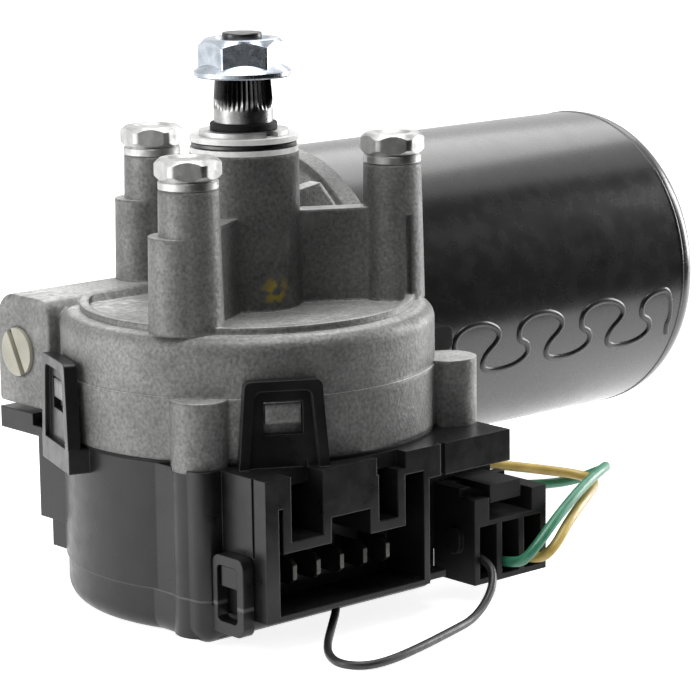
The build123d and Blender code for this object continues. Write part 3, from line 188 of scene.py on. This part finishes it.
# %% Whole surfaces
def surface(name, metallic=0.0, coat=0.0, specular=0.5):
    """A new material with its shader; numbers that are the same all over sit on its sockets."""
    material = bpy.data.materials.new(name)
    material.use_nodes = True
    shader = material.node_tree.nodes["Principled BSDF"]
    shader.inputs["Metallic"].default_value = metallic
    shader.inputs["Coat Weight"].default_value = coat
    shader.inputs["Specular IOR Level"].default_value = specular
    return material, material.node_tree, shader


def mottle(tree, shader, dark, light, scale, detail=4.0, spread=0.15):
    """Base colour that wanders between two close tones."""
    stops = (0.5 - spread, dark), (0.5 + spread, light)
    tree.links.new(ramp(tree, noise(tree, scale, detail=detail), *stops), shader.inputs["Base Color"])


def vary_roughness(tree, shader, scale, smooth, rough):
    """Roughness that wanders between two values."""
    wander = map_range(tree, noise(tree, scale), 0.3, 0.7, smooth, rough)
    tree.links.new(wander, shader.inputs["Roughness"])


def bump(tree, shader, *layers, edge=0.0):
    """Chain bumps, each (height, strength, distance in metres), over edges softened by a radius."""
    normal = None
    if edge:
        normal = add_node(tree, "ShaderNodeBevel", samples=6, Radius=edge).outputs["Normal"]
    for height, strength, distance in layers:
        node = add_node(tree, "ShaderNodeBump", Strength=strength, Distance=distance)
        tree.links.new(height, node.inputs["Height"])
        if normal is not None:
            tree.links.new(normal, node.inputs["Normal"])
        normal = node.outputs["Normal"]
    tree.links.new(normal, shader.inputs["Normal"])


def plain_finish(
    name, dark, light, rough, metallic=0.0, grain=1800, grain_depth=0.00004, coat=0.0, specular=0.5
):
    """Two close tones with a fine grain and soft edges: moulded plastic, rubber, plain metal."""
    material, tree, shader = surface(name, metallic=metallic, coat=coat, specular=specular)
    mottle(tree, shader, dark, light, scale=160, detail=5)
    vary_roughness(tree, shader, 420, rough - 0.06, rough + 0.06)
    bump(tree, shader, (noise(tree, grain, detail=3), 0.5, grain_depth), edge=0.3 * mm)
    return material


# %% Pieces and their bodies
def put(material, *nodes):
    """Give CAD nodes a finish through their own material slots."""
    for node in nodes:
        slots = frame["nodes"][node].data.materials
        if len(slots):
            for index in range(len(slots)):
                slots[index] = material
        else:
            slots.append(material)


def frame_body(node):
    """The moving body that a CAD node belongs to."""
    return body_of(frame["nodes"][node])[0]


def new_object(name, data, material):
    """A new object in the scene with one material."""
    data.materials.append(material)
    piece = bpy.data.objects.new(name, data)
    bpy.context.collection.objects.link(piece)
    return piece


def mesh_object(name, shape, material):
    """A new object from an edited mesh, which is freed."""
    mesh = bpy.data.meshes.new(name)
    shape.to_mesh(mesh)
    shape.free()
    return new_object(name, mesh, material)


def nurbs_tube(name, points, radius, material, resolution, sides, closed=False):
    """A round tube along NURBS control points, which are in metres."""
    curve = bpy.data.curves.new(name, "CURVE")
    curve.dimensions = "3D"
    curve.resolution_u = resolution
    curve.bevel_depth = radius * mm
    curve.bevel_resolution = sides
    spline = curve.splines.new("NURBS")
    spline.points.add(len(points) - 1)
    for point, place in zip(spline.points, points):
        point.co = (*place, 1.0)
    spline.order_u = 3
    spline.use_cyclic_u = closed
    spline.use_endpoint_u = not closed
    return new_object(name, curve, material)


# %% [markdown]
# ## Wires
# Three insulated wires leave the small plug: two loop behind the roof of the connector and one
# lies on the bench. A wire could be a swept mesh, or hang by simulation. A NURBS curve of order
# three runs through the same route as the CAD tube and gives the soft bends of thin stranded
# wire, so the route alone decides where it lies.

# %% Wire insulation
def insulation(name, dark, light, rough=0.38):
    material, tree, shader = surface(name, coat=0.15)
    mottle(tree, shader, dark, light, scale=300, spread=0.2)
    vary_roughness(tree, shader, 900, rough - 0.08, rough + 0.1)
    bump(tree, shader, (noise(tree, 2600, detail=2), 0.25, 0.00003))
    return material


black_insulation = insulation("black_insulation", (0.005, 0.005, 0.005), (0.014, 0.014, 0.0135), rough=0.5)
green_insulation = insulation("green_insulation", (0.02, 0.16, 0.085), (0.06, 0.27, 0.16))
yellow_insulation = insulation("yellow_insulation", (0.44, 0.3, 0.06), (0.62, 0.45, 0.13))

# %% Wire routes, in millimetres
black_route = (
    (21.9, -30.3, -65.2), (21.9, -36.6, -65.3), (19.4, -40.2, -68.8), (12.6, -43.0, -72.2),
    (3.6, -46.0, -72.2), (-6.0, -48.9, -72.2), (-13.5, -50.6, -72.2), (-18.6, -50.2, -72.2),
    (-20.7, -46.6, -72.2), (-18.9, -41.9, -72.2), (-15.2, -37.3, -72.1), (-10.0, -32.4, -71.4),
    (-5.6, -28.6, -70.1), (-4.0, -26.4, -69.2), (-4.0, -24.0, -69.2),
)
green_route = (
    (27.8, -30.3, -67.4), (27.8, -36.9, -67.5), (29.8, -38.9, -65.0), (36.6, -37.8, -60.4),
    (48.5, -33.4, -57.0), (58.6, -28.8, -56.4), (61.6, -24.6, -58.6), (56.8, -20.2, -61.0),
    (46.5, -16.4, -60.4), (36.6, -12.4, -58.4), (31.6, -11.0, -57.6), (27.6, -11.0, -57.6),
)
yellow_route = (
    (32.6, -30.3, -67.4), (32.6, -37.1, -67.5), (34.6, -39.1, -65.4), (40.2, -37.2, -61.8),
    (49.5, -32.6, -59.8), (56.8, -27.8, -59.4), (57.8, -23.4, -59.2), (53.2, -19.2, -58.2),
    (45.0, -14.8, -56.6), (36.0, -9.6, -54.8), (31.6, -8.0, -54.2), (27.6, -8.0, -54.2),
)


def wire(name, route, radius, material):
    """One wire along its route; radius and route are in millimetres."""
    points = [Vector(place) * mm for place in route]
    piece = nurbs_tube(name, points, radius, material, resolution=16, sides=5)
    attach(piece, "housing")
    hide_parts(name)
    return piece


wire("wire_black", black_route, 0.7, black_insulation).name = "black_lead"
wire("wire_green", green_route, 0.9, green_insulation).name = "green_lead"
wire("wire_yellow", yellow_route, 0.9, yellow_insulation).name = "yellow_lead"
print("wires in place")

# %% [markdown]
# ## Cast aluminium
# The housing is a die casting that is neither machined nor painted outside. It is a soft grey
# metal, cloudy in broad patches, with small dark specks and a coarse skin. A single grey would
# look like plastic, so clouds, specks and rubbed streaks are laid over one another. Painted shade
# darkens it round the tube and behind the drum, and faces that look up are painted paler as light.

# %% Cast aluminium
cast_aluminium, tree, shader = surface("cast_aluminium", metallic=0.45)
clouds = ramp(
    tree, noise(tree, 60, detail=8, distortion=0.4),
    (0.3, (0.12, 0.12, 0.118)), (0.5, (0.16, 0.16, 0.158)), (0.7, (0.215, 0.215, 0.21)),
)
pores = ramp(
    tree, noise(tree, 1700, detail=4),
    (0.3, (0.6, 0.6, 0.59)), (0.5, (1, 1, 1)), (0.72, (1.45, 1.45, 1.43)),
)
streaks = ramp(
    tree, noise(tree, 700, stretch=(1, 1, 0.12)),
    (0.35, (0.15, 0.15, 0.148)), (0.65, (0.32, 0.32, 0.315)),
)
rubbed = map_range(tree, noise(tree, 26, detail=6, distortion=1.2), 0.6, 0.68, 0.0, 1.0)
skin = mix(tree, rubbed, mix(tree, 0.75, clouds, pores, blend="MULTIPLY"), streaks)

# a dab of yellow inspection paint at the foot of the tube
place = object_place(tree)
from_dab = add_node(tree, "ShaderNodeVectorMath", operation="DISTANCE")
tree.links.new(place, from_dab.inputs[0])
from_dab.inputs[1].default_value = (-1.2 * mm, -9.2 * mm, -19.8 * mm)
near_dab = map_range(tree, from_dab.outputs["Value"], 0.6 * mm, 3.2 * mm, 0.95, 0.0)
broken = map_range(tree, noise(tree, 560, detail=5), 0.44, 0.54, 0.0, 1.0)
painted = mix(tree, calculate(tree, "MULTIPLY", near_dab, broken), skin, (0.6, 0.46, 0.03))

# painted shade near the spindle's axis and on the flange behind the drum, painted light on faces that look up
flat = add_node(tree, "ShaderNodeVectorMath", operation="MULTIPLY")
flat.inputs[1].default_value = (1, 1, 0)
tree.links.new(place, flat.inputs[0])
from_axis = add_node(tree, "ShaderNodeVectorMath", operation="LENGTH")
tree.links.new(flat.outputs["Vector"], from_axis.inputs[0])
shade_near_axis = map_range(tree, from_axis.outputs["Value"], 12.5 * mm, 20.5 * mm, 0.62, 1.06)
position = components(tree, place)
shade_beside_drum = map_range(tree, position["X"], 21 * mm, 24.5 * mm, 1.0, 0.55)
shade_behind_drum = map_range(tree, position["Y"], 6 * mm, 14 * mm, 1.0, 0.55)
painted_shade = calculate(tree, "MULTIPLY", shade_near_axis, calculate(tree, "MAXIMUM", shade_beside_drum, shade_behind_drum))
facing = components(tree, add_node(tree, "ShaderNodeNewGeometry").outputs["Normal"])
# faces that look up are painted paler, as painted top light
painted_top_light = map_range(tree, facing["Z"], 0.85, 0.99, 1.0, 2.3)
with_painted_light = add_node(tree, "ShaderNodeVectorMath", operation="SCALE")
tree.links.new(painted, with_painted_light.inputs[0])
tree.links.new(calculate(tree, "MULTIPLY", painted_shade, painted_top_light), with_painted_light.inputs["Scale"])
tree.links.new(with_painted_light.outputs["Vector"], shader.inputs["Base Color"])
vary_roughness(tree, shader, 300, 0.42, 0.58)
coarse_skin = (noise(tree, 210, detail=4), 0.35, 0.0003)
fine_skin = (noise(tree, 1300, detail=5), 0.7, 0.00014)
bump(tree, shader, coarse_skin, fine_skin, edge=1.1 * mm)
put(cast_aluminium, "gear_housing")

# %% [markdown]
# ## Steel parts
# The nut is zinc plated with a bluish passivation; bolts and washers are duller and pitted; the
# shaft is dark. All are one recipe with other tones, since plating is a thin mottled metal whose
# grain alone tells bright from dull. The spindle's taper is dark, its grooves are painted dark as
# shade where they run out, and its land is ground bright, which a value stored on its points tells apart.

# %% Plated and hardened steel
def plated(name, dark, light, rough, grain=900, strength=0.3, depth=0.00006, metallic=1.0):
    material, tree, shader = surface(name, metallic=metallic)
    mottle(tree, shader, dark, light, scale=380, detail=6, spread=0.18)
    vary_roughness(tree, shader, 500, rough - 0.08, rough + 0.1)
    bump(tree, shader, (noise(tree, grain, detail=4), strength, depth))
    return material


blue_zinc = plated("blue_zinc", (0.34, 0.38, 0.43), (0.56, 0.6, 0.66), 0.24)
dull_zinc = plated(
    "dull_zinc", (0.34, 0.34, 0.335), (0.56, 0.56, 0.55), 0.46, grain=700, strength=0.45, depth=0.00012
)
spring_steel = plated("spring_steel", (0.42, 0.42, 0.42), (0.64, 0.64, 0.63), 0.42)
bright_zinc = plated("bright_zinc", (0.62, 0.62, 0.615), (0.84, 0.84, 0.83), 0.55, metallic=0.3)
dark_steel = plated("dark_steel", (0.07, 0.07, 0.07), (0.14, 0.14, 0.14), 0.36)
put(blue_zinc, "flange_nut", "cover_screws")
put(dull_zinc, "mounting_bolts", "lock_washers")
put(bright_zinc, "thrust_washers")
put(spring_steel, "retaining_ring", "bush_retainer", "magnet_clips", "brush_springs")
put(dark_steel, "armature_shaft", "thrust_ball", "front_bearing", "armature_core", "wave_washer")

spindle_steel, tree, shader = surface("spindle_steel", metallic=1.0)
# the stored value holds the taper's dark tone and the painted shade in the grooves where they run out
shade_and_tone = add_node(tree, "ShaderNodeAttribute", attribute_name="shade_and_tone").outputs["Fac"]
ground = ramp(tree, noise(tree, 500), (0.3, (0.24, 0.24, 0.24)), (0.7, (0.38, 0.38, 0.375)))
tree.links.new(mix(tree, shade_and_tone, ground, (0.05, 0.05, 0.05)), shader.inputs["Base Color"])
vary_roughness(tree, shader, 700, 0.22, 0.4)
bump(tree, shader, (noise(tree, 300, stretch=(1, 1, 30)), 0.2, 0.00003))
put(spindle_steel, "output_spindle")

# %% [markdown]
# ## Black enamel
# The can is drawn steel under semi-gloss black enamel: smooth, with a slight orange peel that
# breaks up the long highlight. Enamel is black paint under a clear skin, so a thin coat over a
# nearly black base gives both the deep middle and the bright underside.

# %% Black enamel
black_enamel, tree, shader = surface("black_enamel", specular=0.45, coat=0.45)
shader.inputs["Coat Roughness"].default_value = 0.2
mottle(tree, shader, (0.003, 0.003, 0.0033), (0.006, 0.006, 0.0066), scale=90, detail=6, spread=0.2)
vary_roughness(tree, shader, 260, 0.24, 0.3)
orange_peel = (noise(tree, 260, detail=2), 0.06, 0.00015)
dust = (noise(tree, 1600), 0.25, 0.00004)
bump(tree, shader, orange_peel, dust)
put(black_enamel, "motor_can", "can_end_cap")
# the beads are the same enamel as the can, painted lighter as a painted highlight
seam_enamel_painted_highlight = plain_finish("seam_enamel_painted_highlight", (0.008, 0.008, 0.0085), (0.018, 0.018, 0.019), 0.3, specular=0.55)

# %% [markdown]
# ## The can's seam and rim
# The can is rolled from a strip whose two ends lock together like jigsaw pieces, and the enamel
# stands up in a soft bead along that line; another bead runs round the joint with the end cap.
# Cutting the line into the mesh would need very many faces. Each bead is a thin tube sunk into
# the can, which repeats one tooth along the can's side, laid on the cylinder by turning the
# distance round it into an angle.

# %% Jigsaw seam and rim, in millimetres
can_axis_y, can_axis_z, can_radius = 28.0, -31.6, 29.3
seam_start_x, seam_end_x, rim_x = 31.2, 107.6, 108.2
tooth_pitch, tooth_count = 16.5, 5
tooth = (
    (0.0, 5.9), (0.0, 4.5), (1.3, 3.2), (4.0, 2.4), (7.4, 2.5), (10.5, 3.8), (11.5, 5.4), (10.6, 6.9),
    (8.8, 8.4), (8.1, 10.3), (9.0, 12.0), (11.9, 12.8), (15.9, 12.7), (18.9, 11.5), (20.0, 9.8),
    (19.2, 8.1), (16.9, 7.1),
)


def on_can(along, round_side, sink):
    """Point in metres on the can, from distances along and round it and its depth below."""
    angle = pi + round_side / can_radius
    reach = can_radius - sink
    return Vector((along, can_axis_y + reach * cos(angle), can_axis_z + reach * sin(angle))) * mm


def bead(name, line, radius, closed=False):
    """A bead of enamel on the can."""
    piece = nurbs_tube(name, line, radius, seam_enamel_painted_highlight, resolution=6, sides=3, closed=closed)
    piece.data.use_fill_caps = not closed
    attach(piece, "housing")


seam_line = [
    on_can(seam_start_x + tooth_pitch * step + along, around, 0.28)
    for step in range(tooth_count) for along, around in tooth
]
seam_line = [point for point in seam_line if point.x < seam_end_x * mm]
bead("can_seam", seam_line, 0.72)
rim_steps = 48
rim_line = [on_can(rim_x, 2 * pi * can_radius * step / rim_steps, 0.3) for step in range(rim_steps)]
bead("can_rim", rim_line, 0.5, closed=True)
print("seam of", len(seam_line), "control points")

# %% [markdown]
# ## Plastics, rubber, brass and the inner parts
# The cover, its lid and the plugs are black moulded plastic with a faint sheen. The inner parts
# get their own finishes too, since they show when the motor is taken apart. One recipe with
# other tones serves them all, because what tells them apart is colour and gloss.

# %% Plastics, rubber and brass
moulding_tones = (0.005, 0.005, 0.0054), (0.011, 0.011, 0.0114)
black_plastic = plain_finish("black_plastic", *moulding_tones, 0.33, grain=1600, specular=0.34)
lid_plastic = plain_finish("lid_plastic", *moulding_tones, 0.33, grain=1600, specular=0.34)
grey_plastic = plain_finish("grey_plastic", (0.006, 0.006, 0.006), (0.012, 0.012, 0.012), 0.48, specular=0.2)
ivory_plastic = plain_finish(
    "ivory_plastic", (0.36, 0.35, 0.28), (0.5, 0.485, 0.4), 0.45, grain=900, grain_depth=0.0001
)
black_rubber = plain_finish("black_rubber", (0.004, 0.004, 0.004), (0.009, 0.009, 0.009), 0.6, specular=0.2)
gear_plastic = plain_finish("gear_plastic", (0.62, 0.6, 0.52), (0.72, 0.7, 0.63), 0.42)
ferrite = plain_finish("ferrite", (0.03, 0.03, 0.032), (0.06, 0.06, 0.064), 0.7)
carbon = plain_finish("carbon", (0.02, 0.02, 0.02), (0.05, 0.05, 0.05), 0.6)
board_green = plain_finish("board_green", (0.01, 0.07, 0.03), (0.02, 0.12, 0.05), 0.3, coat=0.3)
brass = plain_finish("brass", (0.55, 0.38, 0.14), (0.72, 0.53, 0.24), 0.32, metallic=1.0)
tinned_brass = plain_finish("tinned_brass", (0.05, 0.05, 0.047), (0.12, 0.117, 0.11), 0.42, metallic=1.0)
bronze = plain_finish("bronze", (0.36, 0.22, 0.1), (0.5, 0.33, 0.17), 0.5, metallic=0.9)
copper = plain_finish("copper", (0.42, 0.16, 0.07), (0.6, 0.26, 0.12), 0.35, metallic=0.9)

# a thin pale line runs along the lid's edge that meets the cover
lid_split_z = -65.2 * mm
tree = lid_plastic.node_tree
lid_colour = tree.nodes["Principled BSDF"].inputs["Base Color"]
moulded = lid_colour.links[0].from_socket
off_edge = calculate(tree, "SUBTRACT", components(tree, object_place(tree))["Z"], lid_split_z)
pale_line = map_range(tree, calculate(tree, "ABSOLUTE", off_edge), 0.15 * mm, 0.45 * mm, 0.5, 0.0)
tree.links.new(mix(tree, pale_line, moulded, (0.16, 0.16, 0.155)), lid_colour)

put(black_plastic, "gear_cover", "brush_plate", "board_relay", "board_capacitor")
put(lid_plastic, "cover_lid")
put(grey_plastic, "motor_plug")
put(ivory_plastic, "end_play_screw")
put(black_rubber, "spindle_seal", "cover_gasket", "lead_grommet")
put(gear_plastic, "worm_wheel")
put(ferrite, "magnets")
put(carbon, "brushes")
put(board_green, "circuit_board")
put(brass, "park_disc", "contact_springs")
put(tinned_brass, "blade_terminals", "header_pins")
put(bronze, "upper_bush", "lower_bush", "pilot_bush", "rear_bush")
put(copper, "armature_windings", "commutator", "chokes")

# %% [markdown]
# ## Stacked rings
# A nut, a bolt head, a spring washer and a splined spindle are all rings stacked along an axis.
# Boolean cuts could chamfer a hexagon, but leave ragged faces. Here a ring is a circle of points
# whose reach and height follow a rule of the angle: a plain number gives a turned step, the
# hexagon rule gives flats, and a height that falls with the reach cuts the curved chamfer that
# a turning tool leaves on a hexagon. One circle is extruded along all the rings, so a chamfer's
# arc runs exactly through its points.

# %% Stacked rings
axis_point = 0.001  # a ring this small closes an end
merge_distance = 0.005
sharp_edge = radians(24)
towards_viewer = radians(230.8)


def hexagon(angle, flats, turn, limit):
    """Reach of a hexagon at an angle; a flat faces the direction turn, and limit rounds corners."""
    lean = (angle - turn + pi / 6) % (pi / 3) - pi / 6
    return min(flats / 2 / cos(lean), limit)


def chamfered(flats, base, fall, turn=towards_viewer, limit=100.0):
    """A ring on a hexagon that drops by fall for each millimetre of reach beyond the flats."""
    def ring(angle):
        reach = hexagon(angle, flats, turn, limit)
        return reach, base - (reach - flats / 2) * fall
    return ring


def cut_gap(shape, direction):
    """Take out the faces that lie within a few degrees of a direction, and close the ends."""
    def lies_there(face):
        middle = face.calc_center_median()
        return cos(atan2(middle.y, middle.x) - direction) > 0.992
    bmesh.ops.delete(shape, geom=[face for face in shape.faces if lies_there(face)], context="FACES")
    bmesh.ops.holes_fill(shape, edges=[edge for edge in shape.edges if edge.is_boundary], sides=0)


def ring_piece(
    name, rings, material, body="housing", places=((0.0, 0.0),), segments=144, gap=None, shade=None
):
    """Closed shapes from rings; each ring turns an angle into (reach, height) in millimetres."""
    shape = bmesh.new()
    shade_and_tone = shape.verts.layers.float.new("shade_and_tone")
    for index, ring in enumerate(rings):
        if index == 0:
            fresh = set(bmesh.ops.create_circle(shape, segments=segments, radius=1.0)["verts"])
            loop = list(shape.edges)
        else:
            grown = bmesh.ops.extrude_edge_only(shape, edges=loop)["geom"]
            fresh = {item for item in grown if isinstance(item, bmesh.types.BMVert)}
            edges = [item for item in grown if isinstance(item, bmesh.types.BMEdge)]
            loop = [edge for edge in edges if set(edge.verts) <= fresh]
        for vertex in fresh:
            angle = atan2(vertex.co.y, vertex.co.x)
            reach, height = ring(angle) if callable(ring) else ring
            vertex.co = (reach * cos(angle), reach * sin(angle), height)
            if shade:
                vertex[shade_and_tone] = shade(angle, height)
    bmesh.ops.remove_doubles(shape, verts=shape.verts, dist=merge_distance)
    if gap is not None:
        cut_gap(shape, gap)
    bmesh.ops.recalc_face_normals(shape, faces=shape.faces)
    for edge in shape.edges:
        edge.smooth = edge.calc_face_angle(0.0) < sharp_edge
    for face in shape.faces:
        face.smooth = True
    first = [*shape.verts, *shape.edges, *shape.faces]
    for place in places[1:]:
        copied = bmesh.ops.duplicate(shape, geom=first)["geom"]
        copied_verts = [item for item in copied if isinstance(item, bmesh.types.BMVert)]
        bmesh.ops.translate(shape, verts=copied_verts, vec=(*place, 0))
    first_verts = [item for item in first if isinstance(item, bmesh.types.BMVert)]
    bmesh.ops.translate(shape, verts=first_verts, vec=(*places[0], 0))
    bmesh.ops.scale(shape, verts=shape.verts, vec=(mm, mm, mm))
    piece = mesh_object(name, shape, material)
    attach(piece, body)
    print(name, len(piece.data.polygons), "faces")
    return piece


# %% [markdown]
# ## Flange nut
# The nut is 13 mm across flats, with its washer forged on. The flange rises in a cone that meets
# each flat in an arc, and the top is chamfered the other way. The first ring is repeated last,
# which closes the body round its bore.

# %% Flange nut
nut_flats = 13.0
nut_turn = towards_viewer + radians(3)
nut = ring_piece(
    "nut_on_spindle",
    [
        (5.1, 15.6), (7.95, 15.6), (8.2, 15.85), (8.2, 16.5), (7.95, 16.75),
        chamfered(nut_flats, 17.85, 0.8, turn=nut_turn), chamfered(nut_flats, 21.55, 0.85, turn=nut_turn),
        (6.3, 21.9), (6.0, 22.0), (4.8, 22.0), (4.15, 21.4), (4.15, 18.8), (5.1, 18.2), (5.1, 15.6),
    ],
    blue_zinc, body=frame_body("flange_nut"),
)
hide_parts("flange_nut")

# %% [markdown]
# ## Bolts and spring washers
# Three bolts, 10 mm across flats, stand on the pillars. Their corners are rounded and both ends
# are chamfered, which leaves oval flats, and the head is dished on top. The washers are split;
# the gap is turned away from the viewer. Each set of three is one shape and its copies, which
# lie on the pillars' circle.

# %% Bolts and spring washers
bolt_flats = 10.0
bolt_limit = 5.5
pillar_circle_r = 25.5
pillar_places = [
    (pillar_circle_r * cos(radians(angle)), pillar_circle_r * sin(radians(angle))) for angle in (90, 210, 330)
]
bolts = ring_piece(
    "hex_bolts",
    [
        (axis_point, -12.4), (2.6, -12.4), (3.0, -12.0), (3.0, 1.6), (4.7, 1.6),
        chamfered(bolt_flats, 1.85, -1.2, limit=bolt_limit),
        chamfered(bolt_flats, 4.9, 1.2, limit=bolt_limit),
        (4.6, 5.15), (4.3, 5.2), (3.2, 5.2), (2.7, 4.8), (axis_point, 4.7),
    ],
    dull_zinc, places=pillar_places,
)
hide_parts("mounting_bolts")
washers = ring_piece(
    "spring_washers",
    [(3.1, 0.0), (4.7, 0.0), (4.95, 0.25), (4.95, 1.35), (4.7, 1.6), (3.1, 1.6), (3.1, 0.0)],
    dull_zinc, places=pillar_places, gap=towards_viewer - pi,
)
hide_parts("lock_washers")

# %% [markdown]
# ## Spindle and seal
# The spindle's taper has 36 rolled splines whose grooves run out below, and a thread above with
# a short plain point. A groove could be cut 36 times; a rule that dips the ring between the teeth
# does it in one go. A value on each point tells the dark taper and the grooves, painted dark as
# shade where they run out, from the ground land. The seal is a plain rubber ring that turns with
# the spindle.

# %% Spindle and seal
spline_count = 36
spline_depth = 0.42
land_top_z = 10.5
grooves_full_z = 11.9


def spline(angle):
    """0 on a tooth's crest and 1 in the groove beside it."""
    phase = (angle * spline_count / (2 * pi)) % 1.0
    return 1.0 - abs(2 * phase - 1.0)


def splined(reach, height, share=1.0):
    """A ring with the grooves at a share of their full depth."""
    return lambda angle: (reach - spline_depth * share * spline(angle), height)


def spindle_shade_and_tone(angle, height):
    """The grooves where they run out are painted dark as shade and the taper is dark; the land below them is
    ground bright.
    """
    if height > grooves_full_z:
        return 1.0
    return spline(angle) if height > land_top_z else 0.0


spindle = ring_piece(
    "splined_spindle",
    [
        (axis_point, -46.5), (4.4, -46.5), (5.0, -45.9), (5.0, 10.0), (5.0, 10.2),
        splined(4.99, 11.0, 0.7), splined(4.95, 12.0), splined(4.45, 18.2), (4.0, 18.6),
        (4.0, 21.5), (3.35, 21.8), (3.35, 22.75), (3.2, 22.9), (axis_point, 22.9),
    ],
    spindle_steel, body=frame_body("output_spindle"), segments=216, shade=spindle_shade_and_tone,
)
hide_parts("output_spindle")
seal = ring_piece(
    "lip_seal",
    [(5.02, 6.66), (5.6, 6.66), (5.7, 6.8), (5.7, 7.75), (5.5, 7.95), (5.02, 7.95), (5.02, 6.66)],
    black_rubber, body=frame_body("spindle_seal"),
)
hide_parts("spindle_seal")
print("fasteners in place")

# %% [markdown]
# ## Bench
# The bench is a pale floor that ends in white, so the motor seems to stand on nothing but its
# shadow. A curved backdrop would do too; here the floor glows only for rays that come straight
# from the camera, a reflection or glass, and its light on the motor stays soft.

# %% Bench
def seen_directly(tree):
    """1 for rays from the camera and for those that a mirror or glass passes on, else 0."""
    path = add_node(tree, "ShaderNodeLightPath").outputs
    through = calculate(tree, "MAXIMUM", path["Is Glossy Ray"], path["Is Transmission Ray"])
    return calculate(tree, "MAXIMUM", path["Is Camera Ray"], through)


bench_paint, tree, shader = surface("bench_paint")
shader.inputs["Base Color"].default_value = (0.86, 0.86, 0.86, 1)
shader.inputs["Roughness"].default_value = 0.6
glow = add_node(tree, "ShaderNodeEmission", Color=(1, 1, 1, 1), Strength=0.85)
both = add_node(tree, "ShaderNodeAddShader")
tree.links.new(shader.outputs[0], both.inputs[0])
tree.links.new(glow.outputs[0], both.inputs[1])
choice = add_node(tree, "ShaderNodeMixShader")
tree.links.new(seen_directly(tree), choice.inputs["Fac"])
tree.links.new(shader.outputs[0], choice.inputs[1])
tree.links.new(both.outputs[0], choice.inputs[2])
tree.links.new(choice.outputs[0], tree.nodes["Material Output"].inputs["Surface"])
shape = bmesh.new()
bmesh.ops.create_grid(shape, x_segments=1, y_segments=1, size=2.5)
bmesh.ops.translate(shape, verts=shape.verts, vec=(0, 0, -73.05 * mm))
bench = mesh_object("bench", shape, bench_paint)

# %% [markdown]
# ## Lamps and cards
# Soft lamps stand left and right of the motor, one hangs above and a weak one stands behind, so
# that the side towards the viewer is the darker one. Black card round the camera keeps the
# white room out of the enamel: one sheet curves up behind it and one lies on the bench. A lamp
# can't take light away, and a card that only reflections see darkens nothing else.

# %% Lamps
def lamp(name, place, size, power):
    """A soft rectangular lamp that looks at the motor's middle."""
    data = bpy.data.lights.new(name, "AREA")
    data.shape = "RECTANGLE"
    data.size, data.size_y = size
    data.energy = power
    piece = bpy.data.objects.new(name, data)
    turn = (Vector((0.03, 0.01, -0.03)) - Vector(place)).to_track_quat("-Z", "Y")
    piece.matrix_world = Matrix.Translation(place) @ turn.to_matrix().to_4x4()
    bpy.context.collection.objects.link(piece)


lamp("left_lamp", (-0.62, 0.24, 0.1), (0.35, 0.5), 2.4)
lamp("top_lamp", (0.0, -0.05, 0.6), (0.5, 0.4), 3.6)
lamp("right_lamp", (0.72, -0.12, 0.08), (0.25, 0.5), 4.4)
lamp("back_lamp", (0.42, 0.26, 0.45), (0.35, 0.45), 1.0)

# %% Black cards
card_cloth, tree, shader = surface("card_cloth", specular=0.0)
shader.inputs["Base Color"].default_value = (0.02, 0.02, 0.02, 1)


def card(name, shape):
    """A black card that only reflections see."""
    piece = mesh_object(name, shape, card_cloth)
    piece.visible_camera = False
    piece.visible_diffuse = False
    piece.visible_shadow = False


shape = bmesh.new()
ends = [shape.verts.new((x, -0.9, -0.06)) for x in (-1.1, 2.2)]
hem = shape.edges.new(ends)
bmesh.ops.spin(
    shape, geom=[*ends, hem], cent=(0, 0, -0.06), axis=(1, 0, 0), dvec=(0, 0, 0),
    angle=radians(-78), steps=18, use_merge=False, use_duplicate=False,
)
card("black_card", shape)

shape = bmesh.new()
bmesh.ops.create_grid(shape, x_segments=1, y_segments=1, size=1.0)
bmesh.ops.scale(shape, verts=shape.verts, vec=(1.1, 0.5, 1.0))
bmesh.ops.translate(shape, verts=shape.verts, vec=(0.6, -0.575, -0.0725))
card("floor_card", shape)

# %% [markdown]
# ## World
# The background is white to the camera and in reflections, and much weaker as light, so the
# lamps and not the room shape the motor.

# %% World
world = bpy.data.worlds.new("studio")
bpy.context.scene.world = world
world.use_nodes = True
tree = world.node_tree
background = tree.nodes["Background"]
room_light = map_range(tree, seen_directly(tree), 0, 1, 0.28, 1.0)
tree.links.new(room_light, background.inputs["Strength"])
background.inputs["Color"].default_value = (1, 1, 1, 1)
bpy.context.scene.view_settings.view_transform = "Standard"
